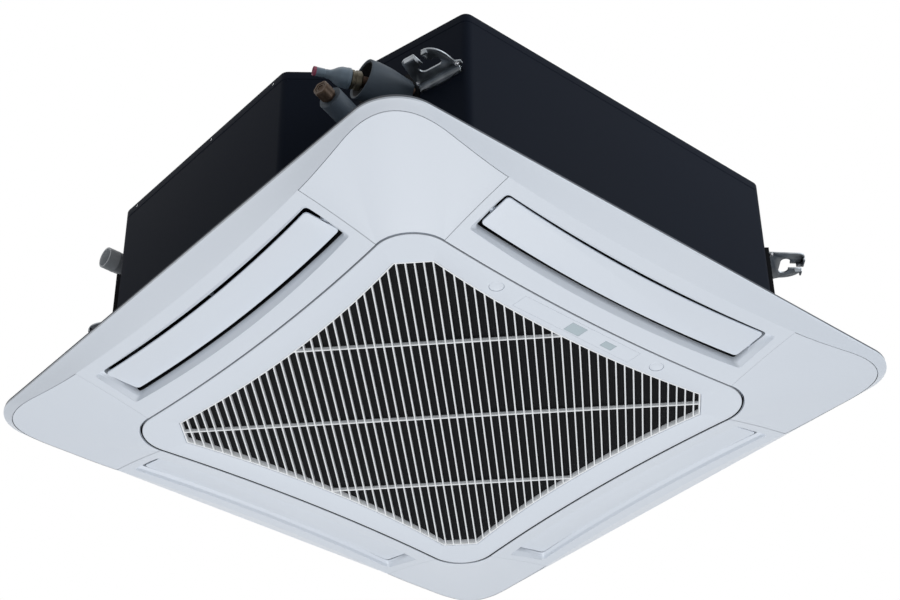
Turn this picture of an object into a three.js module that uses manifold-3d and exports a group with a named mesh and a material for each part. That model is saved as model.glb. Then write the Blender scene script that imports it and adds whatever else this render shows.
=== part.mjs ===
// Ceiling cassette air conditioner: a square body hung from four slotted brackets, with a
// four-way outlet panel below it. Millimetres, +Z up. The origin is the centre of the intake
// grille's bottom face, so everything else lies above z = 0.
//
// Sides run anticlockwise seen from above: 0 is +Y (the grille hinge), 1 is -X, 2 is -Y (the
// grille latches and display) and 3 is +X. The refrigerant pipes leave at the -X -Y corner.

import * as THREE from 'three';
import { mergeVertices } from 'three/addons/utils/BufferGeometryUtils.js';
import Module from 'manifold-3d';

const wasm = await Module();
wasm.setup();

// ---------------------------------------------------------------- driving dimensions

const restGap = 0.3; // between two pieces that touch
const over = 1; // how far a cutting body runs past what it cuts
const weld = 1e-4; // points closer than this are one

// The sizes that the others follow
const bodyHalf = 420; // body, centre to wall
const outletHalfLength = 240;

// Outlet panel
const panelOverlap = 55; // how far the panel covers the ceiling beyond the body
const panelHalf = bodyHalf + panelOverlap;
const panelCornerRadius = 65;
const panelHeight = 48.4; // grille face to ceiling plane
const panelEdge = 6.4; // upright outer edge
const rimWidthMid = 37; // sloping rim, at the middle of a side
const rimWidthEnd = 5; // and at the corners
const rimFootHeight = 25; // where the rim meets the smooth face
const shellThickness = 6;
const rimLandInset = 4; // flat top land, inside the rim's foot
const outletInset = 6.5; // outlet's outer edge to the body's wall
const outletWidth = 67.5;
const outletToSeam = 33.7;
const outletOuter = bodyHalf - outletInset;
const outletInner = outletOuter - outletWidth;
const seamMid = outletInner - outletToSeam; // joint line between panel and grille, middle of a side
const seamBow = 12.7; // how much further out it lies near the corners
const seamCornerRadius = 63;
const seamGap = 2.2;
const intakeWall = 3;
const coverThickness = 3; // lift-off corner covers
const coverGap = 0.6;
const coverMargin = 24; // their straight edges to the outlet's end
const coverEdge = outletHalfLength + coverMargin;

// Air outlets, drawn for side 0
const outletBow = 12.5;
const outletWall = 3;
const flareReach = 13; // bevelled recess round the outlet
const flareHeight = 19;
const flareLean = 2; // how much its inner edge leans
const stayWidth = 2.4;
const stayReach = 16;

// Louvres
const louvreInnerGap = 4.5; // louvre to duct, at its inner edge, outer edge and ends
const louvreOuterGap = 8;
const louvreEndGap = 4;
const louvreInner = outletInner + louvreInnerGap;
const louvreOuter = outletOuter - louvreOuterGap;
const louvreHalfLength = outletHalfLength - louvreEndGap;
const louvreThickness = 3;
const louvreTilt = 9.3; // degrees, outer edge up when shut
const louvreCorner = 6;
const pivotInset = 36.5; // louvre's inner edge to its pivots
const pivotY = louvreInner + pivotInset;
const pivotZ = 29;
const pivotDrop = 6.5; // pivot axis to the louvre's underside
const pivotRadius = 2.6;
const pivotEarRadius = 5;
const pivotEarWidth = 4;
const louvreOpenAtRest = [0, 7.5, 0, 0]; // degrees, one for each side
const motorBox = new THREE.Vector3(18, 26, 22);
const motorShaftRadius = 2.5;

// Intake grille
const grilleThickness = 9;
const grilleFrameWidth = 46.3; // at the middle of a side
const openingMid = seamMid - grilleFrameWidth;
const openingBow = 19;
const openingCorner = 38; // cut-off corner, along each side
const slatPitch = 12.16;
const slatShift = -0.8; // of the middle slat from the centre line
const slatWidth = 2.3;
const slatBite = 1; // how far the slats run into the frame
const barInset = 0.6;
const ribWidth = 4.2;
const filterInset = 20.3; // from the grille's edge
const filterHalf = seamMid - filterInset;
const filterSheet = 1;
const filterHeight = 3;
const filterRib = 3;
const filterBays = 4;
const filterLatchGap = 3;

// Grille hinge and latches
const hingeX = 150;
const hingeInset = 9.3; // from the grille's edge
const hingeY = seamMid - hingeInset;
const hingeZ = 2.2;
const hingePinRadius = 0.9;
const hingePinLength = 14;
const hingeEarWidth = 4;
const hingeEarRadius = 1.5;
const hingeEarClearance = 1;
const hingeLegHeight = 14; // pin to the underside of the level leg
const latchX = 148;
const latchInset = 18.3;
const latchY = -(seamMid - latchInset);
const latchRadius = 10.2;
const latchFlangeRadius = 11.7;
const latchFlangeHeight = 3.4;
const latchStep = 5; // face to the flange's seat

// Display strip in the grille frame
const stripInset = 22.7; // its middle to the grille's edge
const stripCentre = new THREE.Vector2(2, -(seamMid - stripInset));
const stripSize = new THREE.Vector2(212, 26.4);
const stripThickness = 1.2;
const receiverX = -1;
const receiverSize = new THREE.Vector2(27, 19);
const lampsX = 60;
const lampsSize = new THREE.Vector2(20, 12.5);
const windowInset = 23.9;
const windowY = -(seamMid - windowInset);

// Body
const bodyBottom = 70;
const bodyHeight = 240;
const sheet = 1.5;
const chamferX = 157; // cut-off corners, along X and along Y
const chamferY = 198;
const edgeRadius = 14; // rounded upright edges
const notchSize = new THREE.Vector2(118, 247); // pipe corner, along X and along Y
const notchBend = new THREE.Vector2(76, 187); // where its two walls meet
const notchStartY = -bodyHalf + notchSize.y;
const notchCorner = new THREE.Vector2(-bodyHalf + notchBend.x, -bodyHalf + notchBend.y);
const notchEndX = -bodyHalf + notchSize.x;
const linerWall = 5;
const linerTop = 8;

// Coil, fan, bell mouth, drain pan
const coilInset = 84; // from the body's wall, for the air to turn down
const coilHalf = bodyHalf - coilInset;
const coilThickness = 36;
const coilCornerRadius = 100;
const coilGap = new THREE.Vector2(56, 146); // cut from its pipe corner, along X and along Y
const coilGapX = -(coilHalf - coilGap.x);
const coilGapY = -(coilHalf - coilGap.y);
const fanInset = 114; // from the coil's outer face
const fanRadius = coilHalf - fanInset;
const fanShroud = 48; // rim to eye
const fanEye = fanRadius - fanShroud;
const fanBottom = 122;
const fanTop = 262;
const fanSheet = 2.5;
const fanBlades = 7;
const bladeRoot = 120;
const bladeThickness = 4;
const bladeSweep = 0.62; // radians from root to tip
const bladeCurve = 1.4;
const bladeTaper = 0.4; // share of the thickness lost at the tip
const bladeTipInset = 4;
const shroudRise = 26; // from the eye's lip to the rim
const shroudShoulder = 14; // bend of the lip, inwards and up
const hubRadius = 76;
const hubFloor = 222;
const hubBossRadius = 16;
const hubBossHeight = 12;
const bellRadius = fanRadius + 4; // its flange, past the fan's rim
const bellThroat = fanEye - 6; // its throat, inside the fan's eye
const bellHeight = 42;
const bellSheet = 2.5;
const bellNeck = 12; // how far it widens half-way down
const bellNeckHeight = 19;
const bellRoll = 14; // how far its lower lip rolls inwards
const panHeight = 30;
const panHoleRadius = fanRadius - 10; // under the bell mouth's flange
const panDuctMargin = 17; // to the ends of the body's straight wall
const panDuctHalf = Math.min(outletHalfLength, bodyHalf - chamferY) - panDuctMargin;
const troughDepth = 14;
const coilBase = bodyBottom + panHeight - troughDepth;
const motorRadius = 62;
const motorBase = 236;
const shaftRadius = 6;
const shaftGap = 0.4;
const shaftTip = 4; // below the fan's hub

// Electrical box
const boxSize = new THREE.Vector3(330, 62, 28);
const boxInset = 44.3; // its middle to the grille's edge
const boxY = -(seamMid - boxInset);
const boxLid = 1.6;

// Hanger brackets
const rodInset = new THREE.Vector2(80, 30); // hanging rods, from the body's walls
const hangerPitch = new THREE.Vector2(2 * (bodyHalf - rodInset.x), 2 * (bodyHalf - rodInset.y));
const hangerZ = 215;
const hangerWidth = 80;
const hangerSheet = 3;
const hangerBase = 28; // height of the upright flange
const hangerNose = 27; // rod centre to the outer edge
const hangerLip = 9;
const slotLength = 34;
const slotWidth = 14;
const slotMouth = 12;
const slotMargin = 12; // plate beyond each end of the slot
const hangerTaper = 10; // cut-off corners of the plate, inwards
const hangerTaperWidth = 8; // and along the wall
const cornerPlateSheet = 6;
const cornerPlateTop = 196;
const cornerPlateInset = 6;

// Pipework
const bodyCorner = new THREE.Vector3(-bodyHalf, -bodyHalf, 0); // the uncut pipe corner
const suctionStart = new THREE.Vector3(99, 89, 215).add(bodyCorner); // where it leaves the body
const suctionEnd = new THREE.Vector3(-27, 137, 215.5).add(bodyCorner);
const suctionRadius = 8;
const liquidStart = new THREE.Vector3(84.8, 148, 158).add(bodyCorner); // where it leaves the body
const liquidEnd = new THREE.Vector3(-11, 122, 168).add(bodyCorner);
const liquidRadius = 6;
const pipeTail = 26; // length inside the body
const wallReach = 20; // how far the holes for the pipes reach outside it
const coneLength = 76;
const coneStart = 12; // clear of the wall, which the pipe leaves at a slant
const coneRoot = 11;
const coneMouth = 29;
const coneWall = 3;
const coneWaist = 0.5; // where it is fullest, as a share of its length
const coneBulge = 2;
const coneBoreEnd = 0.35; // where its bore starts to widen
const capNutRadius = 14;
const capNutLength = 15;
const capNutInset = 6; // inside the sleeve's mouth
const capRadius = 12.5;
const capLength = 17;
const capTipRadius = 7;
const capTipLength = 29;
const capMouthLength = 4;
const sleeveRadius = 15;
const sleeveStart = 7; // clear of the wall
const flareNutRadius = 14.5;
const flareNutLength = 22;
const pipePlateSheet = 2;
const pipePlateSpan = [12, 114]; // along the pipe wall
const pipePlateZ = [138, 250];
const drainInset = 139; // from the body's wall
const drainY = bodyHalf - drainInset;
const drainZ = 259;
const drainRadius = 16.5;
const drainLength = 81;
const drainEndX = 3 - bodyHalf;
const drainTailX = drainEndX + drainLength;
const drainBore = 13.5;

// ---------------------------------------------------------------- finishes

const finish = (color, roughness, metalness = 0) =>
  new THREE.MeshStandardMaterial({ color, roughness, metalness });
const white = finish(0xdfe4ec, 0.38);
const paleGrey = finish(0xb9c2cc, 0.3);
const black = finish(0x1d1e21, 0.6);
const paintedBody = finish(0x24282e, 0.5, 0.1);
const foam = finish(0x2b2f33, 0.95);
const sleeveFoam = finish(0x46525c, 0.9);
const zinc = finish(0x8d959b, 0.4, 0.9);
const brass = finish(0x9c7450, 0.35, 0.9);
const copper = finish(0xb0643c, 0.35, 0.9);
const aluminium = finish(0xb4b9bd, 0.4, 0.9);
const greyPlastic = finish(0x767a7c, 0.6);
const capPlastic = finish(0x7c8792, 0.5);
const redPlastic = finish(0xb8506a, 0.5);

// ---------------------------------------------------------------- solids

/** A closed geometry as a solid. */
function solid(geometry) {
  const bare = new THREE.BufferGeometry();
  bare.setAttribute('position', geometry.getAttribute('position'));
  bare.setIndex(geometry.getIndex());
  const merged = mergeVertices(bare, weld);
  return new wasm.Manifold(new wasm.Mesh({
    numProp: 3,
    vertProperties: new Float32Array(merged.getAttribute('position').array),
    triVerts: new Uint32Array(merged.getIndex().array),
  }));
}

/** A named mesh made of a solid. */
function piece(name, body, material) {
  const data = body.getMesh();
  const geometry = new THREE.BufferGeometry();
  geometry.setAttribute('position', new THREE.BufferAttribute(new Float32Array(data.vertProperties), 3));
  geometry.setIndex(new THREE.BufferAttribute(new Uint32Array(data.triVerts), 1));
  geometry.computeVertexNormals();
  const mesh = new THREE.Mesh(geometry, material);
  mesh.name = name;
  return mesh;
}

/** An outline of [x, y] points raised from z0 to z1. */
function prism(points, z0, z1) {
  const shape = new THREE.Shape(points.map(([x, y]) => new THREE.Vector2(x, y)));
  const geometry = new THREE.ExtrudeGeometry(shape, { depth: z1 - z0, bevelEnabled: false, steps: 1 });
  geometry.translate(0, 0, z0);
  return solid(geometry);
}

/** A box from its two opposite corners. */
function block(x0, y0, z0, x1, y1, z1) {
  const geometry = new THREE.BoxGeometry(x1 - x0, y1 - y0, z1 - z0);
  geometry.translate((x0 + x1) / 2, (y0 + y1) / 2, (z0 + z1) / 2);
  return solid(geometry);
}

/** A profile of [radius, z] points turned about Z. */
function turned(profile, segments = 32) {
  return solid(new THREE.LatheGeometry(profile.map(([r, z]) => new THREE.Vector2(r, z)), segments)
    .rotateX(Math.PI / 2));
}

/** A round bar along Z, or a tapered one. */
function bar(z0, z1, r0, r1 = r0, segments = 20) {
  return turned([[0, z0], [r0, z0], [r1, z1], [0, z1]], segments);
}

/** Turns and moves a solid that was made along Z so that it runs from one point to another. */
function along(body, from, to) {
  const turn = new THREE.Quaternion().setFromUnitVectors(
    new THREE.Vector3(0, 0, 1), to.clone().sub(from).normalize());
  const matrix = new THREE.Matrix4().compose(from, turn, new THREE.Vector3(1, 1, 1));
  return body.transform(matrix.elements);
}

/** A ring swept through a closed list of sections, each an outline of [x, y, z] points. */
function loft(sections) {
  const count = sections[0].length;
  const positions = sections.flat(2);
  const index = [];
  sections.forEach((_, k) => {
    const next = (k + 1) % sections.length;
    for (let i = 0; i < count; i += 1) {
      const j = (i + 1) % count;
      const [a, b, c, d] = [k * count + i, k * count + j, next * count + j, next * count + i];
      index.push(a, b, c, a, c, d);
    }
  });
  const geometry = new THREE.BufferGeometry();
  geometry.setAttribute('position', new THREE.Float32BufferAttribute(positions, 3));
  geometry.setIndex(index);
  return solid(geometry);
}

/** A solid between two outlines with as many points, at two heights. */
function taper(lower, z0, upper, z1) {
  const count = lower.length;
  const faces = THREE.ShapeUtils.triangulateShape(lower.map(([x, y]) => new THREE.Vector2(x, y)), []);
  const index = [];
  faces.forEach(([a, b, c]) => index.push(a, c, b, count + a, count + b, count + c));
  for (let i = 0; i < count; i += 1) {
    const j = (i + 1) % count;
    index.push(i, j, count + j, i, count + j, count + i);
  }
  const geometry = new THREE.BufferGeometry();
  const points = [...lower.map(([x, y]) => [x, y, z0]), ...upper.map(([x, y]) => [x, y, z1])];
  geometry.setAttribute('position', new THREE.Float32BufferAttribute(points.flat(), 3));
  geometry.setIndex(index);
  return solid(geometry);
}

// ---------------------------------------------------------------- outlines

/**
 * A square with sides bowed in at the middle. `mid` and `mid + bow` are the distances from the
 * centre at the middle and the ends of a side; the corner has the given radius, or is cut off
 * straight where it has one step.
 */
function bowedSquare(mid, bow, corner, cornerSteps = 4, sideSteps = 6) {
  const end = mid + bow;
  const span = end - corner;
  const points = [];
  for (let side = 0; side < 4; side += 1) {
    const turn = (side * Math.PI) / 2;
    const place = (x, y) => points.push([
      x * Math.cos(turn) - y * Math.sin(turn), x * Math.sin(turn) + y * Math.cos(turn)]);
    for (let i = 0; i <= sideSteps; i += 1) {
      const t = 1 - (2 * i) / sideSteps;
      place(span * t, mid + bow * t * t);
    }
    for (let i = 1; i < cornerSteps; i += 1) {
      const angle = Math.PI / 2 + (i / cornerSteps) * (Math.PI / 2);
      place(-span + corner * Math.cos(angle), span + corner * Math.sin(angle));
    }
  }
  return points;
}

/** Half-way mark `t` between two outlines, at one height. */
const between = (inner, outer, t, z) => inner.map(([x, y], i) => [
  x + (outer[i][0] - x) * t, y + (outer[i][1] - y) * t, z]);

/** How far the grille joint lies from the centre, `x` along a side. */
const seamAt = (x) => seamMid + seamBow * (x / (seamMid + seamBow - seamCornerRadius)) ** 2;

/** An outline with straight ends and bowed long edges, for side 0. */
function bowedStrip(inner, outer, bow, halfInner, halfOuter, steps = 6) {
  const points = [];
  for (let i = 0; i <= steps; i += 1) {
    const t = (2 * i) / steps - 1;
    points.push([halfInner * t, inner + bow * t * t]);
  }
  for (let i = 0; i <= steps; i += 1) {
    const t = 1 - (2 * i) / steps;
    points.push([halfOuter * t, outer + bow * t * t]);
  }
  return points;
}

/** A polygon, anticlockwise, moved in by `inset`, with its corners rounded. */
function roundedPolygon(corners, inset = 0, radius = 0, steps = 4) {
  const moved = corners.map((corner, i) => {
    const before = corners[(i + corners.length - 1) % corners.length];
    const after = corners[(i + 1) % corners.length];
    const a = corner.clone().sub(before).normalize();
    const b = after.clone().sub(corner).normalize();
    const normalA = new THREE.Vector2(-a.y, a.x);
    const normalB = new THREE.Vector2(-b.y, b.x);
    const scale = inset / (1 + normalA.dot(normalB));
    return corner.clone().add(normalA.add(normalB).multiplyScalar(scale));
  });
  return moved.flatMap((corner, i) => {
    const toBefore = moved[(i + moved.length - 1) % moved.length].clone().sub(corner).normalize();
    const toAfter = moved[(i + 1) % moved.length].clone().sub(corner).normalize();
    const turnsIn = toBefore.x * toAfter.y - toBefore.y * toAfter.x > 0;
    const reach = (turnsIn ? radius + inset : radius - inset);
    if (reach <= 0) return [[corner.x, corner.y]];
    const half = Math.acos(toBefore.dot(toAfter)) / 2;
    const start = corner.clone().addScaledVector(toBefore, reach / Math.tan(half));
    const end = corner.clone().addScaledVector(toAfter, reach / Math.tan(half));
    return Array.from({ length: steps + 1 }, (_, k) => {
      const t = k / steps;
      const p = start.clone().multiplyScalar((1 - t) ** 2)
        .addScaledVector(corner, 2 * t * (1 - t)).addScaledVector(end, t * t);
      return [p.x, p.y];
    });
  });
}

/** A rectangle round a centre. */
const rectangle = (centre, size, grow = 0) => {
  const [x, y] = [size.x / 2 + grow, size.y / 2 + grow];
  return [[-x, -y], [x, -y], [x, y], [-x, y]].map(([a, b]) => [centre.x + a, centre.y + b]);
};

const sideAngle = (side) => (side * Math.PI) / 2;
const turnedTo = (body, side) => body.rotate([0, 0, side * 90]);

// ---------------------------------------------------------------- outlet panel

const rimEnd = panelHalf - rimWidthEnd;
const rimMid = panelHalf - rimWidthMid;
const outline = bowedSquare(panelHalf, 0, panelCornerRadius);
const rimFoot = bowedSquare(rimMid, rimEnd - rimMid, panelCornerRadius);
const rimLand = bowedSquare(rimMid - rimLandInset, rimEnd - rimMid, panelCornerRadius);
const seam = bowedSquare(seamMid + seamGap / 2, seamBow, seamCornerRadius);
const wallBack = bowedSquare(seamMid + seamGap / 2 + intakeWall, seamBow, seamCornerRadius);
const bodyFace = bodyBottom - restGap;
const faceSteps = [0.25, 0.5, 0.75, 1];

/** Height of the panel's visible face, `t` of the way from the grille to the rim. */
const faceHeight = (t) => rimFootHeight * t * t * (3 - 2 * t);
const faceRing = (t, lift = 0) => between(seam, rimFoot, t, faceHeight(Math.max(t, 0)) + lift);
const flat = (points, z) => points.map(([x, y]) => [x, y, z]);

/** Everything above the visible face, up to `top`: trims what must not show below it. */
function aboveFace(top) {
  const rings = [0, ...faceSteps].map((t) => faceRing(t));
  return loft([...rings, flat(rimFoot, top), flat(seam, top)]);
}

/** The outlet's duct, with a bevelled mouth. */
function outletCut(side) {
  const duct = bowedStrip(outletInner, outletOuter, outletBow, outletHalfLength, outletHalfLength);
  const mouth = bowedStrip(outletInner - flareLean, outletOuter, outletBow,
    outletHalfLength + flareReach, outletHalfLength);
  return turnedTo(prism(duct, -over, bodyBottom + over).add(taper(mouth, 0, duct, flareHeight)), side);
}

/** A thin upright wall round the duct, up to the body. */
function outletWalls(side) {
  const outer = bowedStrip(outletInner - outletWall, outletOuter + outletWall, outletBow,
    outletHalfLength + outletWall, outletHalfLength + outletWall);
  return turnedTo(prism(outer, 0, bodyFace), side);
}

/** The web that steadies the louvre's middle: it shows in the outer slot as a white line. */
function outletStay(side) {
  return turnedTo(block(-stayWidth / 2, outletOuter - stayReach, pivotZ + pivotDrop,
    stayWidth / 2, outletOuter + outletWall / 2, panelHeight), side);
}

/** Bearing holes for the louvre's pivots. */
function pivotCut(side) {
  const reach = outletHalfLength + outletWall + over;
  const rod = along(bar(0, 2 * reach, pivotRadius + restGap, pivotRadius + restGap, 12),
    new THREE.Vector3(-reach, pivotY, pivotZ), new THREE.Vector3(reach, pivotY, pivotZ));
  return turnedTo(rod, side);
}

/** The square region of a corner cover: 0 is the +X +Y corner, then anticlockwise. */
function coverRegion(corner, shrink) {
  const near = coverEdge + shrink;
  const far = panelHalf + over;
  return turnedTo(block(near, near, -over, far, far, panelHeight), corner);
}

/** A layer of the panel's face, from `drop` below it to `thickness` above it. */
function coverLayer(from, to, drop, thickness) {
  const steps = [from, ...faceSteps.slice(0, -1), to];
  const lower = steps.map((t) => faceRing(t, -drop));
  const upper = steps.map((t) => faceRing(t, thickness)).reverse();
  return loft([...lower, ...upper]);
}

/** An L-shaped ear on the intake wall that holds a hinge pin. */
function hingeEar(x) {
  const [x0, x1] = [x - hingeEarWidth / 2, x + hingeEarWidth / 2];
  const legTop = hingeZ + hingeLegHeight + hingeEarWidth;
  const eye = along(bar(0, hingeEarWidth, hingeEarRadius, hingeEarRadius, 20),
    new THREE.Vector3(x0, hingeY, hingeZ), new THREE.Vector3(x1, hingeY, hingeZ));
  const leg = block(x0, hingeY - hingeEarRadius, hingeZ, x1, hingeY + hingeEarRadius, legTop);
  const arm = block(x0, hingeY, hingeZ + hingeLegHeight, x1, seamAt(x) + seamGap, legTop);
  return eye.add(leg).add(arm).subtract(hingeBore(x));
}

function hingeBore(x) {
  const length = hingePinLength + 2 * over;
  return along(bar(0, length, hingePinRadius + restGap, hingePinRadius + restGap, 16),
    new THREE.Vector3(x - length / 2, hingeY, hingeZ), new THREE.Vector3(x + length / 2, hingeY, hingeZ));
}

function makePanel() {
  const rings = [0, ...faceSteps].map((t) => faceRing(t));
  const back = faceSteps.slice(0, -1).map((t) => faceRing(t, shellThickness)).reverse();
  const rimTop = rimFootHeight + shellThickness;
  let panel = loft([
    ...rings, flat(outline, panelHeight - panelEdge), flat(outline, panelHeight),
    flat(rimLand, panelHeight), flat(rimLand, rimTop), ...back,
    flat(wallBack, shellThickness), flat(wallBack, bodyFace), flat(seam, bodyFace),
  ]);
  const trim = aboveFace(bodyBottom);
  for (let side = 0; side < 4; side += 1) {
    panel = panel.add(outletWalls(side).intersect(trim));
  }
  for (let side = 0; side < 4; side += 1) {
    panel = panel.subtract(outletCut(side)).subtract(pivotCut(side)).add(outletStay(side));
  }
  const pocket = coverLayer(-over / (rimMid - seamMid), 1, over, coverThickness + restGap);
  for (let corner = 0; corner < 4; corner += 1) {
    panel = panel.subtract(coverRegion(corner, 0).intersect(pocket));
  }
  return panel.add(hingeEar(-hingeX)).add(hingeEar(hingeX));
}

function makeCovers() {
  const layer = coverLayer(0, 1 - coverGap / (rimMid - seamMid), 0, coverThickness);
  return [0, 1, 2, 3].map((corner) => piece(`corner_cover_${corner + 1}`,
    coverRegion(corner, coverGap).intersect(layer), white));
}

// ---------------------------------------------------------------- louvres

/** One louvre, drawn for side 0 with its pivot axis at the origin. */
function makeLouvre(side) {
  const strip = bowedStrip(louvreInner - pivotY, louvreOuter - pivotY, outletBow,
    louvreHalfLength, louvreHalfLength);
  const corners = rectangle(
    new THREE.Vector2(0, (louvreInner + louvreOuter + outletBow) / 2 - pivotY),
    new THREE.Vector2(2 * louvreHalfLength, louvreOuter - louvreInner + outletBow));
  const rounded = prism(roundedPolygon(corners.map(([x, y]) => new THREE.Vector2(x, y)),
    0, louvreCorner), -pivotDrop - over, over);
  let louvre = prism(strip, -pivotDrop, louvreThickness - pivotDrop).intersect(rounded);
  const tip = outletHalfLength + outletWall;
  [-1, 1].forEach((end) => {
    const outer = end * louvreHalfLength;
    const inner = end * (louvreHalfLength - pivotEarWidth);
    const from = (x) => new THREE.Vector3(x, 0, 0);
    const ear = along(bar(0, pivotEarWidth, pivotEarRadius, pivotEarRadius, 12), from(inner), from(outer))
      .add(block(Math.min(inner, outer), -pivotEarRadius, -pivotDrop,
        Math.max(inner, outer), pivotEarRadius, 0));
    const pin = along(bar(0, tip - Math.abs(inner), pivotRadius, pivotRadius, 12),
      from(inner), from(end * tip));
    louvre = louvre.add(ear).add(pin);
  });
  const mesh = piece(`louvre_${side + 1}`, louvre.rotate([louvreTilt, 0, 0]), white);
  mesh.position.set(0, pivotY, pivotZ);
  mesh.rotation.x = -THREE.MathUtils.degToRad(louvreOpenAtRest[side]);
  return mesh;
}

/** The small stepper motor outside the duct that turns a louvre. */
function makeLouvreMotor(side) {
  const start = outletHalfLength + outletWall + restGap;
  const body = block(start, pivotY - motorBox.y / 2, pivotZ - motorShaftRadius * 2,
    start + motorBox.x, pivotY + motorBox.y / 2, pivotZ - motorShaftRadius * 2 + motorBox.z);
  return piece(`louvre_motor_${side + 1}`, body, black);
}

// ---------------------------------------------------------------- intake grille

const grilleOutline = bowedSquare(seamMid - seamGap / 2, seamBow, seamCornerRadius);
const grilleOpening = (grow) => bowedSquare(openingMid + grow, openingBow, openingCorner, 1);

/** A bar across the grille at 45 degrees: `offset` from the centre, `turn` degrees about Z. */
function crossBar(offset, width, z0, z1, turn) {
  const reach = openingMid * 2;
  return block(-reach, offset - width / 2, z0, reach, offset + width / 2, z1).rotate([0, 0, turn]);
}

/** Where a hinge ear swings, cut from the grille's frame. */
function hingeNotch(x) {
  const half = hingeEarWidth / 2 + hingeEarClearance;
  return block(x - half, hingeY - hingeEarRadius * 2, hingeZ - hingeEarRadius - restGap,
    x + half, seamAt(x) + seamGap, grilleThickness + over);
}

function latchCut(x) {
  const bore = latchRadius + restGap;
  const flange = latchFlangeRadius + restGap;
  return turned([[0, -over], [bore, -over], [bore, latchStep], [flange, latchStep],
    [flange, grilleThickness + over], [0, grilleThickness + over]], 20).translate([x, latchY, 0]);
}

function makeGrille() {
  const top = grilleThickness;
  let bars = crossBar(0, ribWidth, barInset, top, -45);
  const ribOffset = openingMid / Math.SQRT2;
  [-ribOffset, ribOffset].forEach((offset) => {
    bars = bars.add(crossBar(offset, ribWidth, barInset, top, -45));
  });
  const reach = openingMid + openingBow - openingCorner / 2;
  const slats = Math.floor((reach * Math.SQRT2) / slatPitch);
  for (let i = -slats; i <= slats; i += 1) {
    bars = bars.add(crossBar(i * slatPitch + slatShift, slatWidth, barInset, top, 45));
  }
  const inside = prism(grilleOpening(slatBite), -over, top + over);
  let grille = prism(grilleOutline, 0, top).subtract(prism(grilleOpening(0), -over, top + over))
    .add(bars.intersect(inside));
  [-1, 1].forEach((end) => {
    grille = grille.subtract(hingeNotch(end * hingeX)).subtract(hingeBore(end * hingeX))
      .subtract(latchCut(end * latchX));
  });
  return grille.subtract(prism(rectangle(stripCentre, stripSize, restGap), -over, stripThickness + restGap));
}

function makeLatch(x) {
  const [r, f] = [latchRadius, latchFlangeRadius];
  const seat = latchStep + restGap;
  return turned([[0, 0], [r, 0], [r, seat], [f, seat], [f, seat + latchFlangeHeight],
    [0, seat + latchFlangeHeight]], 20).translate([x, latchY, 0]);
}

function makeFilter() {
  const z = grilleThickness + restGap;
  const half = filterHalf;
  let filter = block(-half, -half, z, half, half, z + filterSheet);
  for (let i = 0; i <= filterBays; i += 1) {
    const at = -half + (i * (2 * half - filterRib)) / filterBays;
    filter = filter.add(block(at, -half, z, at + filterRib, half, z + filterHeight))
      .add(block(-half, at, z, half, at + filterRib, z + filterHeight));
  }
  const clear = latchFlangeRadius + filterLatchGap;
  [-1, 1].forEach((end) => {
    filter = filter.subtract(block(end * latchX - clear, -half - over, z - over,
      end * latchX + clear, latchY + clear, z + filterHeight + over));
  });
  return filter;
}

function makeStrip() {
  const windowAt = (x, size) => prism(
    rectangle(new THREE.Vector2(x, windowY), size, restGap), -over, stripThickness + over);
  return prism(rectangle(stripCentre, stripSize), 0, stripThickness)
    .subtract(windowAt(receiverX, receiverSize)).subtract(windowAt(lampsX, lampsSize));
}

// ---------------------------------------------------------------- body

const bodyTop = bodyBottom + bodyHeight;

/** The body's plan, anticlockwise from the pipe corner. */
const bodyCorners = [
  [notchEndX, -bodyHalf], [bodyHalf - chamferX, -bodyHalf], [bodyHalf, -bodyHalf + chamferY],
  [bodyHalf, bodyHalf - chamferY], [bodyHalf - chamferX, bodyHalf], [-bodyHalf + chamferX, bodyHalf],
  [-bodyHalf, bodyHalf - chamferY], [-bodyHalf, notchStartY], [notchCorner.x, notchCorner.y],
].map(([x, y]) => new THREE.Vector2(x, y));
const bodyPlan = (inset) => roundedPolygon(bodyCorners, inset, edgeRadius);

/** A local frame on an upright wall, from corner `a` to corner `b` of the body's plan. */
function wallFrame(a, b) {
  const run = b.clone().sub(a).normalize();
  const out = new THREE.Vector2(run.y, -run.x);
  return {
    length: a.distanceTo(b),
    matrix: new THREE.Matrix4().makeBasis(new THREE.Vector3(run.x, run.y, 0),
      new THREE.Vector3(out.x, out.y, 0), new THREE.Vector3(0, 0, -1)).setPosition(a.x, a.y, 0),
    local: (x, y) => new THREE.Vector2(
      (x - a.x) * run.x + (y - a.y) * run.y, (x - a.x) * out.x + (y - a.y) * out.y),
  };
}
const pipeWall = wallFrame(bodyCorners[8], bodyCorners[0]);
const chamferWalls = [
  wallFrame(bodyCorners[1], bodyCorners[2]),
  wallFrame(bodyCorners[3], bodyCorners[4]),
  wallFrame(bodyCorners[5], bodyCorners[6]),
];

/** A box in a wall's frame: along it, out from it, and between two heights. */
function wallBlock(frame, along0, along1, out0, out1, z0, z1) {
  return block(along0, out0, -z1, along1, out1, -z0).transform(frame.matrix.elements);
}

/** Points along the line from one point towards another, by distance. */
function pointsOn(start, end) {
  const run = end.clone().sub(start).normalize();
  return (distance) => start.clone().addScaledVector(run, distance);
}

const onSuction = pointsOn(suctionStart, suctionEnd);
const onLiquid = pointsOn(liquidStart, liquidEnd);
const liquidLength = liquidStart.distanceTo(liquidEnd);
const suctionRod = (from, to, radius) => along(bar(0, to - from, radius), onSuction(from), onSuction(to));
const liquidRod = (from, to, radius) => along(bar(0, to - from, radius), onLiquid(from), onLiquid(to));
const drainRod = (x0, x1, radius) => along(bar(0, x0 - x1, radius),
  new THREE.Vector3(x0, drainY, drainZ), new THREE.Vector3(x1, drainY, drainZ));

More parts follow.
